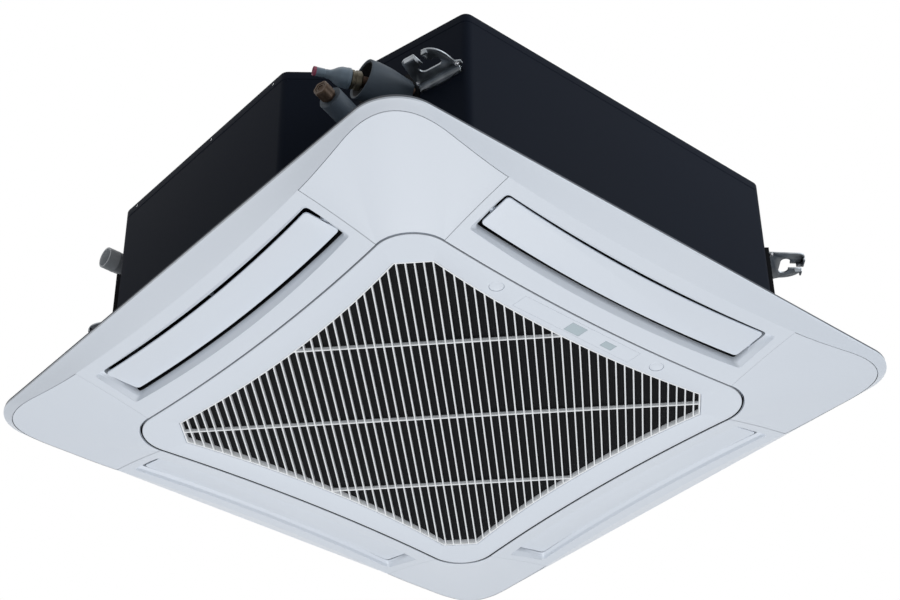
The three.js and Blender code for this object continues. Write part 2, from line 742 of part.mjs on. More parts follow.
/** Clearance for the pipes and the drain through the body's walls. */
function wallHoles(clearance) {
  return suctionRod(-pipeTail - over, wallReach, suctionRadius + clearance)
    .add(liquidRod(-pipeTail - over, wallReach, liquidRadius + clearance))
    .add(drainRod(drainTailX + over, drainEndX - over, drainRadius + clearance));
}

function makeCasing() {
  return prism(bodyPlan(0), bodyBottom, bodyTop)
    .subtract(prism(bodyPlan(sheet), bodyBottom - over, bodyTop - sheet))
    .subtract(wallHoles(restGap));
}

function makeLiner() {
  const bottom = bodyBottom + panHeight + restGap;
  const top = bodyTop - sheet - restGap;
  const plan = sheet + restGap;
  const hole = motorRadius + restGap;
  return prism(bodyPlan(plan), bottom, top)
    .subtract(prism(bodyPlan(plan + linerWall), bottom - over, top - linerTop))
    .subtract(bar(top - linerTop - over, top + over, hole, hole, 28))
    .subtract(wallHoles(restGap));
}

const coilCorners = (half) => [
  [coilGapX, -half], [half, -half], [half, half], [-half, half], [-half, coilGapY],
].map(([x, y]) => new THREE.Vector2(x, y));

/** The finned coil's plan: three rounded corners, open at the pipe corner. */
function coilPlan(grow) {
  const arc = (half, radius) => {
    const corners = coilCorners(half);
    const points = [[corners[0].x - grow, corners[0].y]];
    [1, 2, 3].forEach((k) => {
      const start = ((k - 2) * Math.PI) / 2;
      const centre = corners[k].clone().sub(new THREE.Vector2(
        Math.sign(corners[k].x), Math.sign(corners[k].y)).multiplyScalar(radius));
      for (let i = 0; i <= 6; i += 1) {
        const angle = start + (i / 6) * (Math.PI / 2);
        points.push([centre.x + radius * Math.cos(angle), centre.y + radius * Math.sin(angle)]);
      }
    });
    points.push([corners[4].x, corners[4].y - grow]);
    return points;
  };
  const outer = arc(coilHalf + grow, coilCornerRadius + grow);
  const inner = arc(coilHalf - coilThickness - grow, coilCornerRadius - coilThickness - grow).reverse();
  return [...outer, ...inner];
}

function makeCoil() {
  const top = bodyTop - sheet - linerTop - 2 * restGap;
  return prism(coilPlan(0), coilBase, top);
}

function makePan() {
  const top = bodyBottom + panHeight;
  let pan = prism(bodyPlan(sheet + restGap), bodyBottom, top)
    .subtract(bar(bodyBottom - over, top + over, panHoleRadius, panHoleRadius, 48))
    .subtract(prism(coilPlan(restGap), coilBase - restGap, top + over));
  for (let side = 0; side < 4; side += 1) {
    const duct = bowedStrip(outletInner, outletOuter, 0, panDuctHalf, panDuctHalf);
    pan = pan.subtract(turnedTo(prism(duct, bodyBottom - over, top + over), side));
  }
  return pan;
}

function makeBell() {
  const z = bodyBottom - restGap;
  const [r, t, s] = [bellRadius, bellThroat, bellSheet];
  const lip = panHoleRadius - restGap - s;
  return turned([
    [r, z - s], [r, z], [lip, z], [t + bellNeck, z + bellNeckHeight], [t + s, z + bellHeight],
    [t, z + bellHeight], [t + bellNeck - 2 * s, z + bellNeckHeight - s], [lip - bellRoll, z - s],
    [r, z - s],
  ], 32);
}

// ---------------------------------------------------------------- fan

/** One blade's plan, swept back from the hub to the tip. */
function bladePlan(index) {
  const start = (index * 2 * Math.PI) / fanBlades;
  const root = bladeRoot;
  const tip = fanRadius - bladeTipInset;
  const steps = 5;
  const edge = (side) => Array.from({ length: steps + 1 }, (_, k) => {
    const t = k / steps;
    const radius = root + (tip - root) * t;
    const angle = start - bladeSweep * t ** bladeCurve;
    const half = (side * bladeThickness * (1 - bladeTaper * t)) / 2;
    return [radius * Math.cos(angle) - half * Math.sin(angle),
      radius * Math.sin(angle) + half * Math.cos(angle)];
  });
  return [...edge(-1), ...edge(1).reverse()];
}

function makeFan() {
  const s = fanSheet;
  const boss = hubFloor + hubBossHeight;
  const bore = shaftRadius + shaftGap;
  const rimBottom = fanBottom + shroudRise;
  const hub = turned([
    [bore, hubFloor], [hubRadius, hubFloor], [hubRadius, fanTop - s], [fanRadius, fanTop - s],
    [fanRadius, fanTop], [hubRadius - s, fanTop], [hubRadius - s, hubFloor + s],
    [hubBossRadius, hubFloor + s], [hubBossRadius, boss], [bore, boss], [bore, hubFloor],
  ], 28);
  const shroud = turned([
    [fanEye, fanBottom], [fanEye + s, fanBottom], [fanEye + shroudShoulder, fanBottom + shroudShoulder],
    [fanRadius, rimBottom], [fanRadius, rimBottom + s],
    [fanEye + shroudShoulder - s, fanBottom + shroudShoulder + 2 * s], [fanEye, fanBottom],
  ], 28);
  let fan = hub.add(shroud);
  const cone = turned([
    [0, hubFloor], [hubRadius, hubFloor],
    [fanEye + shroudShoulder - s, fanBottom + shroudShoulder + s], [fanRadius, rimBottom + s / 2],
    [fanRadius, fanTop - s / 2], [0, fanTop - s / 2],
  ], 28);
  for (let i = 0; i < fanBlades; i += 1) {
    fan = fan.add(prism(bladePlan(i), fanBottom, fanTop - s / 2).intersect(cone));
  }
  return fan;
}

function makeMotor() {
  const top = bodyTop - sheet - restGap;
  return turned([[0, hubFloor - shaftTip], [shaftRadius, hubFloor - shaftTip], [shaftRadius, motorBase],
    [motorRadius, motorBase], [motorRadius, top], [0, top]], 28);
}

// ---------------------------------------------------------------- electrical box

function makeElectricalBox() {
  const top = bodyBottom - restGap;
  const bottom = top - boxSize.z;
  const [x, y] = [boxSize.x / 2, boxSize.y / 2];
  return block(-x, boxY - y, bottom, x, boxY + y, top)
    .subtract(block(-x + boxLid, boxY - y + boxLid, bottom - over,
      x - boxLid, boxY + y - boxLid, top - boxLid));
}

function makeElectricalLid() {
  const z = bodyBottom - 2 * restGap - boxSize.z;
  const [x, y] = [boxSize.x / 2, boxSize.y / 2];
  return block(-x, boxY - y, z - boxLid, x, boxY + y, z);
}

// ---------------------------------------------------------------- hangers

/** A hanger bracket on a wall, its slot round the rod at `rod` [x, y]. */
function makeHanger(frame, rod, from, centre, width) {
  const at = frame.local(rod.x, rod.y);
  const z = hangerZ;
  const edge = at.y + hangerNose;
  const half = width / 2;
  const nose = Math.min(half, slotLength / 2 + slotMargin);
  const tip = nose - hangerTaperWidth;
  const plate = prism([
    [centre - half, from], [centre + half, from], [at.x + nose, edge - hangerTaper],
    [at.x + tip, edge], [at.x - tip, edge], [at.x - nose, edge - hangerTaper],
  ], -z, -z + hangerSheet);
  const slotHalf = slotWidth / 2;
  const run = slotLength / 2 - slotHalf;
  const [low, high] = [-z - over, -z + hangerSheet + over];
  let slot = block(at.x - run, at.y - slotHalf, low, at.x + run, at.y + slotHalf, high)
    .add(block(at.x - slotMouth / 2, at.y, low, at.x + slotMouth / 2, edge + over, high));
  [-1, 1].forEach((end) => {
    slot = slot.add(bar(low, high, slotHalf, slotHalf, 20).translate([at.x + end * run, at.y, 0]));
  });
  const flange = block(centre - half, from, -z, centre + half, from + hangerSheet, -z + hangerBase);
  let bracket = plate.add(flange);
  [-1, 1].forEach((end) => {
    const inner = at.x + (end * slotMouth) / 2;
    const outer = at.x + end * tip;
    bracket = bracket.add(block(Math.min(inner, outer), edge - hangerSheet, -z,
      Math.max(inner, outer), edge, -z + hangerLip));
  });
  return bracket.subtract(slot).transform(frame.matrix.elements);
}

function makeCornerPlate(frame) {
  return wallBlock(frame, cornerPlateInset, frame.length - cornerPlateInset,
    restGap, restGap + cornerPlateSheet, bodyBottom, cornerPlateTop);
}

// ---------------------------------------------------------------- pipework

function hexBar(radius, length) {
  return bar(0, length, radius, radius, 6);
}

/** A foam sleeve with a bore, wider at its mouth. */
function flaredSleeve(length, root, mouth, bore) {
  return turned([[bore, 0], [root, 0], [(root + mouth) / 2 + coneBulge, length * coneWaist],
    [mouth, length], [mouth - coneWall, length], [bore, length * coneBoreEnd], [bore, 0]], 28);
}

function makePipes() {
  const mouthAt = coneLength + restGap * 2;
  const nutStart = mouthAt - capNutInset;
  const nutEnd = nutStart + capNutLength;
  const capEnd = nutEnd + restGap + capLength;
  const tipEnd = capEnd + capTipLength;
  const capMesh = along(bar(0, capLength, capRadius).add(bar(capLength - over, capLength + capTipLength,
    capTipRadius)), onSuction(nutEnd + restGap), onSuction(tipEnd));
  const sleeveBore = liquidRadius + restGap;
  return [
    piece('suction_pipe', suctionRod(-pipeTail, nutStart - restGap, suctionRadius), copper),
    piece('suction_nut', along(hexBar(capNutRadius, capNutLength), onSuction(nutStart),
      onSuction(nutEnd)), brass),
    piece('suction_cap', capMesh, capPlastic),
    piece('suction_cap_tip', along(bar(0, capMouthLength, capTipRadius), onSuction(tipEnd + restGap),
      onSuction(tipEnd + capMouthLength)), redPlastic),
    piece('suction_sleeve', along(flaredSleeve(coneLength - coneStart, coneRoot, coneMouth,
      suctionRadius + restGap), onSuction(coneStart), onSuction(coneLength)), sleeveFoam),
    piece('liquid_pipe', liquidRod(-pipeTail, liquidLength, liquidRadius), copper),
    piece('liquid_nut', along(hexBar(flareNutRadius, flareNutLength), onLiquid(liquidLength + restGap),
      onLiquid(liquidLength + flareNutLength)), brass),
    piece('liquid_sleeve', liquidRod(sleeveStart, liquidLength, sleeveRadius)
      .subtract(liquidRod(sleeveStart - over, liquidLength + over, sleeveBore)), sleeveFoam),
  ];
}

function makePipePlate() {
  const [from, to] = pipePlateSpan;
  return wallBlock(pipeWall, from, to, restGap, restGap + pipePlateSheet, ...pipePlateZ)
    .subtract(wallHoles(restGap));
}

function makeDrain() {
  return drainRod(drainTailX, drainEndX, drainRadius)
    .subtract(drainRod(drainTailX + over, drainEndX - over, drainBore));
}

// ---------------------------------------------------------------- assembly

const unit = new THREE.Group();
const rods = [
  [-hangerPitch.x / 2, -hangerPitch.y / 2], [hangerPitch.x / 2, -hangerPitch.y / 2],
  [hangerPitch.x / 2, hangerPitch.y / 2], [-hangerPitch.x / 2, hangerPitch.y / 2],
].map(([x, y]) => new THREE.Vector2(x, y));

unit.add(
  piece('casing', makeCasing(), paintedBody),
  piece('insulation_liner', makeLiner(), foam),
  piece('drain_pan', makePan(), foam),
  piece('coil', makeCoil(), aluminium),
  piece('bell_mouth', makeBell(), black),
  piece('fan_motor', makeMotor(), zinc),
  piece('fan', makeFan(), black),
  piece('electrical_box', makeElectricalBox(), zinc),
  piece('electrical_lid', makeElectricalLid(), zinc),
  piece('pipe_plate', makePipePlate(), paintedBody),
  piece('drain_stub', makeDrain(), greyPlastic),
  ...makePipes(),
);

const pipeHangerStart = pipePlateSpan[1] + restGap * 2;
const pipeHangerWidth = pipeWall.length - edgeRadius - pipeHangerStart;
unit.add(piece('hanger_1', makeHanger(pipeWall, rods[0], restGap,
  pipeHangerStart + pipeHangerWidth / 2, pipeHangerWidth), zinc));
chamferWalls.forEach((frame, i) => {
  const rod = rods[i + 1];
  unit.add(piece(`hanger_${i + 2}`, makeHanger(frame, rod, 2 * restGap + cornerPlateSheet,
    frame.local(rod.x, rod.y).x, hangerWidth), zinc));
  unit.add(piece(`corner_plate_${i + 2}`, makeCornerPlate(frame), black));
});

unit.add(piece('panel_frame', makePanel(), white), ...makeCovers());
for (let side = 0; side < 4; side += 1) {
  const arm = new THREE.Group();
  arm.rotation.z = sideAngle(side);
  arm.add(makeLouvre(side), makeLouvreMotor(side));
  unit.add(arm);
}

unit.add(piece('grille', makeGrille(), white), piece('filter', makeFilter(), black));
[-1, 1].forEach((end) => {
  const name = end < 0 ? 'left' : 'right';
  unit.add(piece(`latch_${name}`, makeLatch(end * latchX), white));
  const half = hingePinLength / 2;
  unit.add(piece(`hinge_pin_${name}`, along(bar(0, hingePinLength, hingePinRadius, hingePinRadius, 16),
    new THREE.Vector3(end * hingeX - half, hingeY, hingeZ),
    new THREE.Vector3(end * hingeX + half, hingeY, hingeZ)), zinc));
});
unit.add(
  piece('display_strip', makeStrip(), white),
  piece('receiver_window', prism(rectangle(new THREE.Vector2(receiverX, windowY), receiverSize),
    0, stripThickness), paleGrey),
  piece('lamp_window', prism(rectangle(new THREE.Vector2(lampsX, windowY), lampsSize),
    0, stripThickness), paleGrey),
);

export default unit;
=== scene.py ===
"""Ceiling cassette air conditioner: the looks of its pieces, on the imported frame."""

import logging
import math
from dataclasses import dataclass, field
from enum import Enum

import bmesh
import bpy
import numpy as np
from mathutils import Matrix


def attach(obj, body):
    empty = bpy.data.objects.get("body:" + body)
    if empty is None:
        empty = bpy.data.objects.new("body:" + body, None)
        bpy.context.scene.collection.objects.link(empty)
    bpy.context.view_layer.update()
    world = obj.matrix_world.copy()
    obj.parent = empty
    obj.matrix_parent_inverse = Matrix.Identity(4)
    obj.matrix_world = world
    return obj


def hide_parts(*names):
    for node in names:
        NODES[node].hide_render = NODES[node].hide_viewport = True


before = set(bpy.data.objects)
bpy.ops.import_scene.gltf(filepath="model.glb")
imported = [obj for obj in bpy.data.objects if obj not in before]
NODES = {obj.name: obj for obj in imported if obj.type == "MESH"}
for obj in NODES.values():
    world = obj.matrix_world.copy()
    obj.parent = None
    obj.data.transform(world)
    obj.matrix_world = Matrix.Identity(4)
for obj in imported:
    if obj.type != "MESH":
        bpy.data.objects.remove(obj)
MM = 0.001
log = logging.getLogger("cassette")


# ------------------------------------------------------------------ shapes

def smoothstep(t: np.ndarray) -> np.ndarray:
    """Returns 3t^2 - 2t^3, with t kept between 0 and 1."""
    t = np.clip(t, 0.0, 1.0)
    return t * t * (3 - 2 * t)


def turned(points: np.ndarray, side: int) -> np.ndarray:
    """Returns points turned about Z by a quarter turn for each side."""
    c, s = round(math.cos(side * math.pi / 2)), round(math.sin(side * math.pi / 2))
    out = points.copy()
    out[..., 0] = c * points[..., 0] - s * points[..., 1]
    out[..., 1] = s * points[..., 0] + c * points[..., 1]
    return out


def at_height(plan: np.ndarray, z: float | np.ndarray) -> np.ndarray:
    """Returns plan points [..., 2] with a height added, which makes them [..., 3]."""
    return np.concatenate([plan, np.broadcast_to(np.asarray(z, float), plan.shape[:-1])[..., None]], -1)


def bezier(a: np.ndarray, b: np.ndarray, c: np.ndarray, d: np.ndarray, t: np.ndarray) -> np.ndarray:
    """Returns the cubic curve from a to d with handles b and c, at each t."""
    t = t[..., None]
    return (1 - t) ** 3 * a + 3 * (1 - t) ** 2 * t * b + 3 * (1 - t) * t * t * c + t ** 3 * d


def frame_axes(direction: np.ndarray) -> tuple[np.ndarray, np.ndarray, np.ndarray]:
    """Gives three axes at right angles, the last along a direction.

    Args:
        direction: any vector that isn't zero.

    Returns:
        Two unit vectors across the direction, and its own unit vector.
    """
    w = direction / np.linalg.norm(direction)
    u = np.cross([0.0, 0.0, 1.0] if abs(w[2]) < 0.9 else [1.0, 0.0, 0.0], w)
    u /= np.linalg.norm(u)
    return u, np.cross(w, u), w


@dataclass
class Form:
    """Grids and caps gathered into one mesh, in millimetres."""

    points: list[np.ndarray] = field(default_factory=list)
    quads: list[np.ndarray] = field(default_factory=list)
    caps: list[list[int]] = field(default_factory=list)
    count: int = 0

    def grid(self, points: np.ndarray, close_rows: bool = False, close_columns: bool = False,
             flip: bool = False) -> "Form":
        """Adds a grid of quads.

        Args:
            points: array of rows by columns by 3.
            close_rows: joins the last row to the first.
            close_columns: joins the last column to the first.
            flip: turns the faces over.

        Returns:
            The form itself.
        """
        rows, columns = points.shape[:2]
        i = np.arange(rows if close_rows else rows - 1)[:, None]
        j = np.arange(columns if close_columns else columns - 1)[None, :]
        i2, j2 = (i + 1) % rows, (j + 1) % columns
        quad = np.stack(np.broadcast_arrays(i * columns + j, i * columns + j2, i2 * columns + j2,
                                            i2 * columns + j), -1).reshape(-1, 4) + self.count
        self.points.append(points.reshape(-1, 3))
        self.quads.append(quad[:, ::-1] if flip else quad)
        self.count += rows * columns
        return self

    def rings(self, *rings: np.ndarray, flip: bool = False) -> "Form":
        """Adds the band through several closed loops with as many points each."""
        return self.grid(np.stack(rings), close_columns=True, flip=flip)

    def cap(self, ring: np.ndarray, flip: bool = False) -> "Form":
        """Adds one flat face bounded by a loop."""
        order = list(range(self.count, self.count + len(ring)))
        self.caps.append(order[::-1] if flip else order)
        self.points.append(np.asarray(ring, float))
        self.count += len(ring)
        return self

    def revolve(self, profile: np.ndarray, start: np.ndarray, end: np.ndarray, segments: int = 48,
                lobes: int = 0, depth: float = 0.0) -> "Form":
        """Adds a profile turned about an axis: radius r at distance d, all round.

        Args:
            profile: rows of radius and distance from the start, in order along the surface.
            start: where distance is 0.
            end: a point further along the axis.
            segments: steps round the axis.
            lobes: flats round it, 0 for a plain round shape.
            depth: how far the flats lie in from the round, as a share of the radius.

        Returns:
            The form itself.
        """
        u, v, w = frame_axes(np.asarray(end, float) - np.asarray(start, float))
        angle = np.arange(segments) * 2 * math.pi / segments
        pull = 1 - depth * (1 - np.cos(lobes * angle)) / 2 if lobes else np.ones(segments)
        radius = profile[:, 0, None] * pull
        points = (np.asarray(start, float) + profile[:, 1, None, None] * w
                  + radius[..., None] * (np.cos(angle)[:, None] * u + np.sin(angle)[:, None] * v))
        return self.grid(points, close_columns=True)

    def box(self, low: tuple[float, float, float], high: tuple[float, float, float]) -> "Form":
        """Adds a box between two corners."""
        (x0, y0, z0), (x1, y1, z1) = low, high
        loop = np.array([[x0, y0], [x1, y0], [x1, y1], [x0, y1]], float)
        self.rings(at_height(loop, z0), at_height(loop, z1))
        return self.cap(at_height(loop, z1)).cap(at_height(loop, z0), flip=True)

    def made(self, name: str, weld: float = 0.002) -> bpy.types.Object:
        """Makes the mesh object, its points in metres and its doubles merged.

        Args:
            name: the piece's name.
            weld: points nearer than this, in millimetres, become one.

        Returns:
            The new object, at the origin.
        """
        points = np.concatenate(self.points) * MM
        faces = [q for block in self.quads for q in block.tolist()] + self.caps
        mesh = bpy.data.meshes.new(name)
        mesh.from_pydata(points.tolist(), [], faces)
        piece = bpy.data.objects.new(name, mesh)
        bpy.context.scene.collection.objects.link(piece)
        merge(mesh, weld * MM)
        return piece

    def finished(self, name: str, angle: float, weld: float = 0.002) -> bpy.types.Object:
        """Makes the mesh object and shades it smooth up to an angle in degrees."""
        piece = self.made(name, weld)
        smooth(piece, angle)
        return piece


def merge(mesh: bpy.types.Mesh, distance: float) -> None:
    """Merges doubles and turns every face outwards."""
    work = bmesh.new()
    work.from_mesh(mesh)
    bmesh.ops.remove_doubles(work, verts=work.verts, dist=distance)
    bmesh.ops.dissolve_degenerate(work, edges=work.edges, dist=distance / 4)
    bmesh.ops.recalc_face_normals(work, faces=work.faces)
    work.to_mesh(mesh)
    work.free()


def smooth(piece: bpy.types.Object, angle: float = 32.0) -> None:
    """Shades a piece smooth, with edges sharper than the angle in degrees kept crisp."""
    piece.data.shade_smooth()
    piece.data.set_sharp_from_angle(angle=math.radians(angle))


def bake(piece: bpy.types.Object) -> None:
    """Turns a piece's modifiers into its own mesh."""
    graph = bpy.context.evaluated_depsgraph_get()
    mesh = bpy.data.meshes.new_from_object(piece.evaluated_get(graph))
    piece.modifiers.clear()
    old, piece.data = piece.data, mesh
    bpy.data.meshes.remove(old)


def cut(piece: bpy.types.Object, *cutters: Form) -> None:
    """Takes closed forms away from a piece."""
    for number, form in enumerate(cutters):
        tool = form.made(f"cutter_{number}")
        modifier = piece.modifiers.new("cut", "BOOLEAN")
        modifier.operation, modifier.object, modifier.solver = "DIFFERENCE", tool, "EXACT"
        bake(piece)
        mesh = tool.data
        bpy.data.objects.remove(tool)
        bpy.data.meshes.remove(mesh)


def bevel(piece: bpy.types.Object, width: float, segments: int = 2, angle: float = 30.0) -> None:
    """Rounds a piece's sharp edges by a width in millimetres."""
    modifier = piece.modifiers.new("bevel", "BEVEL")
    modifier.width, modifier.segments = width * MM, segments
    modifier.limit_method, modifier.angle_limit = "ANGLE", math.radians(angle)
    modifier.harden_normals = True
    bake(piece)


# ------------------------------------------------------------------ finishes

class Pattern(Enum):
    """The texture that a finish shows close up."""

    MOULDED = "moulded"
    PAINTED = "painted"
    SPANGLE = "spangle"
    BRUSHED = "brushed"
    FOAM = "foam"
    MESH = "mesh"
    FINS = "fins"


def new_group(name: str, inputs: dict[str, float], outputs: list[str]) -> tuple:
    """Starts a shader node group.

    Args:
        name: the group's name.
        inputs: names and standing values of its number sockets.
        outputs: names of its number outputs.

    Returns:
        The group, its input node and its output node.
    """
    group = bpy.data.node_groups.new(name, "ShaderNodeTree")
    for label, value in inputs.items():
        socket = group.interface.new_socket(label, in_out="INPUT", socket_type="NodeSocketFloat")
        socket.default_value = value
    for label in outputs:
        group.interface.new_socket(label, in_out="OUTPUT", socket_type="NodeSocketFloat")
    return group, group.nodes.new("NodeGroupInput"), group.nodes.new("NodeGroupOutput")


class Textures:
    """The shared texture groups. Each puts out Tone, from 0 to 1, and Height."""

    def __init__(self) -> None:
        """Makes one group for each pattern."""
        self.groups = {pattern: self._group(pattern) for pattern in Pattern}

    def _group(self, pattern: Pattern) -> bpy.types.NodeTree:
        """Builds a pattern's group.

        Tone is slow noise that varies colour and gloss. Height is the close-up relief: fine
        noise for moulded and painted surfaces, cells for spangle and foam, noise drawn out
        along one way for brushed metal, and crossed or single waves for mesh and fins.

        Args:
            pattern: which texture it is.

        Returns:
            The node group.
        """
        group, start, end = new_group(f"{pattern.value} texture", {"Scale": 100.0, "Slow": 6.0},
                                      ["Tone", "Height"])
        make, wire = group.nodes.new, group.links.new
        place = make("ShaderNodeTexCoord").outputs["Object"]
        slow = make("ShaderNodeTexNoise")
        slow.inputs["Detail"].default_value = 3.0
        wire(place, slow.inputs["Vector"])
        wire(start.outputs["Slow"], slow.inputs["Scale"])
        tone = slow.outputs["Fac"]
        if pattern in (Pattern.SPANGLE, Pattern.FOAM):
            fine = make("ShaderNodeTexVoronoi")
            fine.feature = "F1" if pattern is Pattern.FOAM else "SMOOTH_F1"
            height = fine.outputs["Distance"]
            if pattern is Pattern.SPANGLE:
                grey = make("ShaderNodeRGBToBW")
                wire(fine.outputs["Color"], grey.inputs["Color"])
                tone = grey.outputs["Val"]
        elif pattern in (Pattern.MESH, Pattern.FINS):
            fine = make("ShaderNodeTexWave")
            fine.wave_type, fine.bands_direction = "BANDS", "X"
            height = fine.outputs["Fac"]
        else:
            fine = make("ShaderNodeTexNoise")
            fine.inputs["Detail"].default_value = 2.0 if pattern is Pattern.PAINTED else 5.0
            height = fine.outputs["Fac"]
        turn = make("ShaderNodeMapping")
        if pattern is Pattern.BRUSHED:
            turn.inputs["Scale"].default_value = (1.0, 1.0, 0.04)
        if pattern in (Pattern.MESH, Pattern.FINS):
            turn.inputs["Rotation"].default_value = (0.0, 0.0, math.pi / 4)
        wire(place, turn.inputs["Vector"])
        wire(turn.outputs["Vector"], fine.inputs["Vector"])
        wire(start.outputs["Scale"], fine.inputs["Scale"])
        if pattern is Pattern.MESH:
            cross = make("ShaderNodeTexWave")
            cross.wave_type, cross.bands_direction = "BANDS", "Y"
            both = make("ShaderNodeMath")
            both.operation = "MAXIMUM"
            wire(turn.outputs["Vector"], cross.inputs["Vector"])
            wire(start.outputs["Scale"], cross.inputs["Scale"])
            wire(height, both.inputs[0])
            wire(cross.outputs["Fac"], both.inputs[1])
            height = tone = both.outputs["Value"]
        wire(tone, end.inputs["Tone"])
        wire(height, end.inputs["Height"])
        return group


@dataclass(frozen=True)
class Finish:
    """A surface finish, with the two colours that its texture moves between."""

    name: str
    slot: str
    light: tuple[float, float, float]
    dark: tuple[float, float, float]
    rough: tuple[float, float]
    pattern: Pattern
    scale: float = 400.0
    slow: float = 6.0
    relief: float = 0.05
    depth: float = 0.0002
    metallic: float = 0.0
    coat: float = 0.0
    specular: float = 0.5

    def made(self, textures: Textures) -> bpy.types.Material:
        """Builds the material: tone drives colour and roughness, height drives the bump.

        Args:
            textures: the shared texture groups.

        Returns:
            The new material.
        """
        material = bpy.data.materials.new(self.name)
        material.use_nodes = True
        nodes, links = material.node_tree.nodes, material.node_tree.links
        shader = nodes["Principled BSDF"]
        texture = nodes.new("ShaderNodeGroup")
        texture.node_tree = textures.groups[self.pattern]
        texture.inputs["Scale"].default_value = self.scale
        texture.inputs["Slow"].default_value = self.slow
        colour = nodes.new("ShaderNodeMix")
        colour.data_type = "RGBA"
        colour.inputs["A"].default_value = (*self.dark, 1.0)
        colour.inputs["B"].default_value = (*self.light, 1.0)
        links.new(texture.outputs["Tone"], colour.inputs["Factor"])
        links.new(colour.outputs["Result"], shader.inputs["Base Color"])
        gloss = nodes.new("ShaderNodeMapRange")
        gloss.inputs["To Min"].default_value, gloss.inputs["To Max"].default_value = self.rough
        links.new(texture.outputs["Tone"], gloss.inputs["Value"])
        links.new(gloss.outputs["Result"], shader.inputs["Roughness"])
        bump = nodes.new("ShaderNodeBump")
        bump.inputs["Strength"].default_value = self.relief
        bump.inputs["Distance"].default_value = self.depth
        links.new(texture.outputs["Height"], bump.inputs["Height"])
        links.new(bump.outputs["Normal"], shader.inputs["Normal"])
        shader.inputs["Metallic"].default_value = self.metallic
        shader.inputs["Coat Weight"].default_value = self.coat
        shader.inputs["Specular IOR Level"].default_value = self.specular
        return material


# ------------------------------------------------------------------ outlet panel

SEAM_MID, SEAM_BOW, SEAM_SPAN, SEAM_HANDLE = 314.0, 12.7, 262.0, 35.3
FOOT_MID, FOOT_BOW, FOOT_SPAN, FOOT_HANDLE = 438.7, 23.0, 368.0, 76.5
FOOT_HEIGHT, FOOT_RISE = 25.0, 8.7
RISE_FROM, RISE_TO = 713.0, 893.6
COVER_EDGE = 264.0
BODY_FACE = 69.7


def bowed_square(mid: float, bow: float, span: float, handle: float = 0.0, per_side: int = 56,
                 per_corner: int = 18) -> np.ndarray:
    """Draws a square with bowed sides and rounded corners, anticlockwise.

    A side is mid + bow * t^2 from the centre, with t from 1 to -1 over the span. A corner is a
    cubic curve between two sides.

    Args:
        mid: distance from the centre at the middle of a side.
        bow: how much further out its ends lie.
        span: half-length of the bowed side.
        handle: length of the corner curve's handles, 0 for a straight cut.
        per_side: points along a side.
        per_corner: points round a corner.

    Returns:
        Plan points, 4 * (per_side + per_corner) by 2.
    """
    t = np.linspace(1, -1, per_side)
    side = np.stack([span * t, mid + bow * t * t], -1)
    slope = np.array([-1.0, 2 * bow / span])
    slope /= np.linalg.norm(slope)
    a, d = side[-1], np.array([-(mid + bow), span])
    w = np.linspace(0, 1, per_corner + 2)[1:-1]
    corner = bezier(a, a + handle * slope, d - handle * slope[::-1], d, w)
    sector = np.concatenate([side, corner])
    return np.concatenate([turned(sector, k) for k in range(4)])


def seam_at(x: np.ndarray) -> np.ndarray:
    """Returns how far the panel's inner edge lies from the centre, at x along a side."""
    return SEAM_MID + SEAM_BOW * (x / SEAM_SPAN) ** 2


def foot_at(x: np.ndarray) -> np.ndarray:
    """Returns how far the foot of the sloping rim lies from the centre, at x along a side."""
    return FOOT_MID + FOOT_BOW * (x / FOOT_SPAN) ** 2


def foot_height(plan: np.ndarray) -> np.ndarray:
    """Returns the height of plan points on the rim's foot, which climbs towards each corner."""
    reach = np.abs(plan[..., 0]) + np.abs(plan[..., 1])
    return FOOT_HEIGHT + FOOT_RISE * smoothstep((reach - RISE_FROM) / (RISE_TO - RISE_FROM))


def face_rise(t: np.ndarray) -> np.ndarray:
    """Returns the face's height as a share of its foot's, 1.25t - 0.25t^2 from seam to foot."""
    return t * (1.25 - 0.25 * t)


def on_face(plan: np.ndarray, lift: float = 0.0) -> np.ndarray:
    """Lays plan points of side 0 on the panel's face, raised by a lift."""
    x = plan[..., 0]
    foot, seam = foot_at(x), seam_at(x)
    height = foot_height(np.stack([x, foot], -1)) * face_rise((plan[..., 1] - seam) / (foot - seam))
    return at_height(plan, height + lift)


def four_sided(half: tuple[float, float], inner, outer, radius: float, sharp: bool = False,
               per_long: int = 60, per_end: int = 16, per_corner: int = 9) -> np.ndarray:
    """Draws a slot-shaped loop on side 0: a curved inner and outer edge, and straight ends.

    Args:
        half: half-lengths of the inner and the outer edge.
        inner: gives the inner edge's y for an array of x.
        outer: gives the outer edge's y.
        radius: of the corners; a corner is a quadratic curve with its control at the corner.
        sharp: keeps the corner square, and only spreads its points over the radius.
        per_long: points along each long edge.
        per_end: points along each end.
        per_corner: points round each corner.

    Returns:
        Plan points, anticlockwise, in the same order whatever the sizes are.
    """
    x0, x1 = half
    corners = np.array([[-x0, inner(np.array(-x0))], [x0, inner(np.array(x0))],
                        [x1, outer(np.array(x1))], [-x1, outer(np.array(-x1))]])
    low = np.linspace(-x0 + radius, x0 - radius, per_long)
    high = np.linspace(x1 - radius, -x1 + radius, per_long)
    step = (corners[2] - corners[1]) / np.linalg.norm(corners[2] - corners[1])
    end = np.linspace(corners[1] + radius * step, corners[2] - radius * step, per_end)
    edges = [np.stack([low, inner(low)], -1), end, np.stack([high, outer(high)], -1),
             end[::-1] * np.array([-1.0, 1.0])]
    t = np.linspace(0, 1, per_corner + 2)[1:-1, None]
    loop = []
    for k, edge in enumerate(edges):
        a, b, c = edge[-1], corners[(k + 1) % 4], edges[(k + 1) % 4][0]
        round_corner = (1 - t) ** 2 * a + 2 * t * (1 - t) * b + t * t * c
        square = np.where(t < 0.5, a + (b - a) * 2 * t, b + (c - b) * (2 * t - 1))
        loop += [edge, square if sharp else round_corner]
    return np.concatenate(loop)


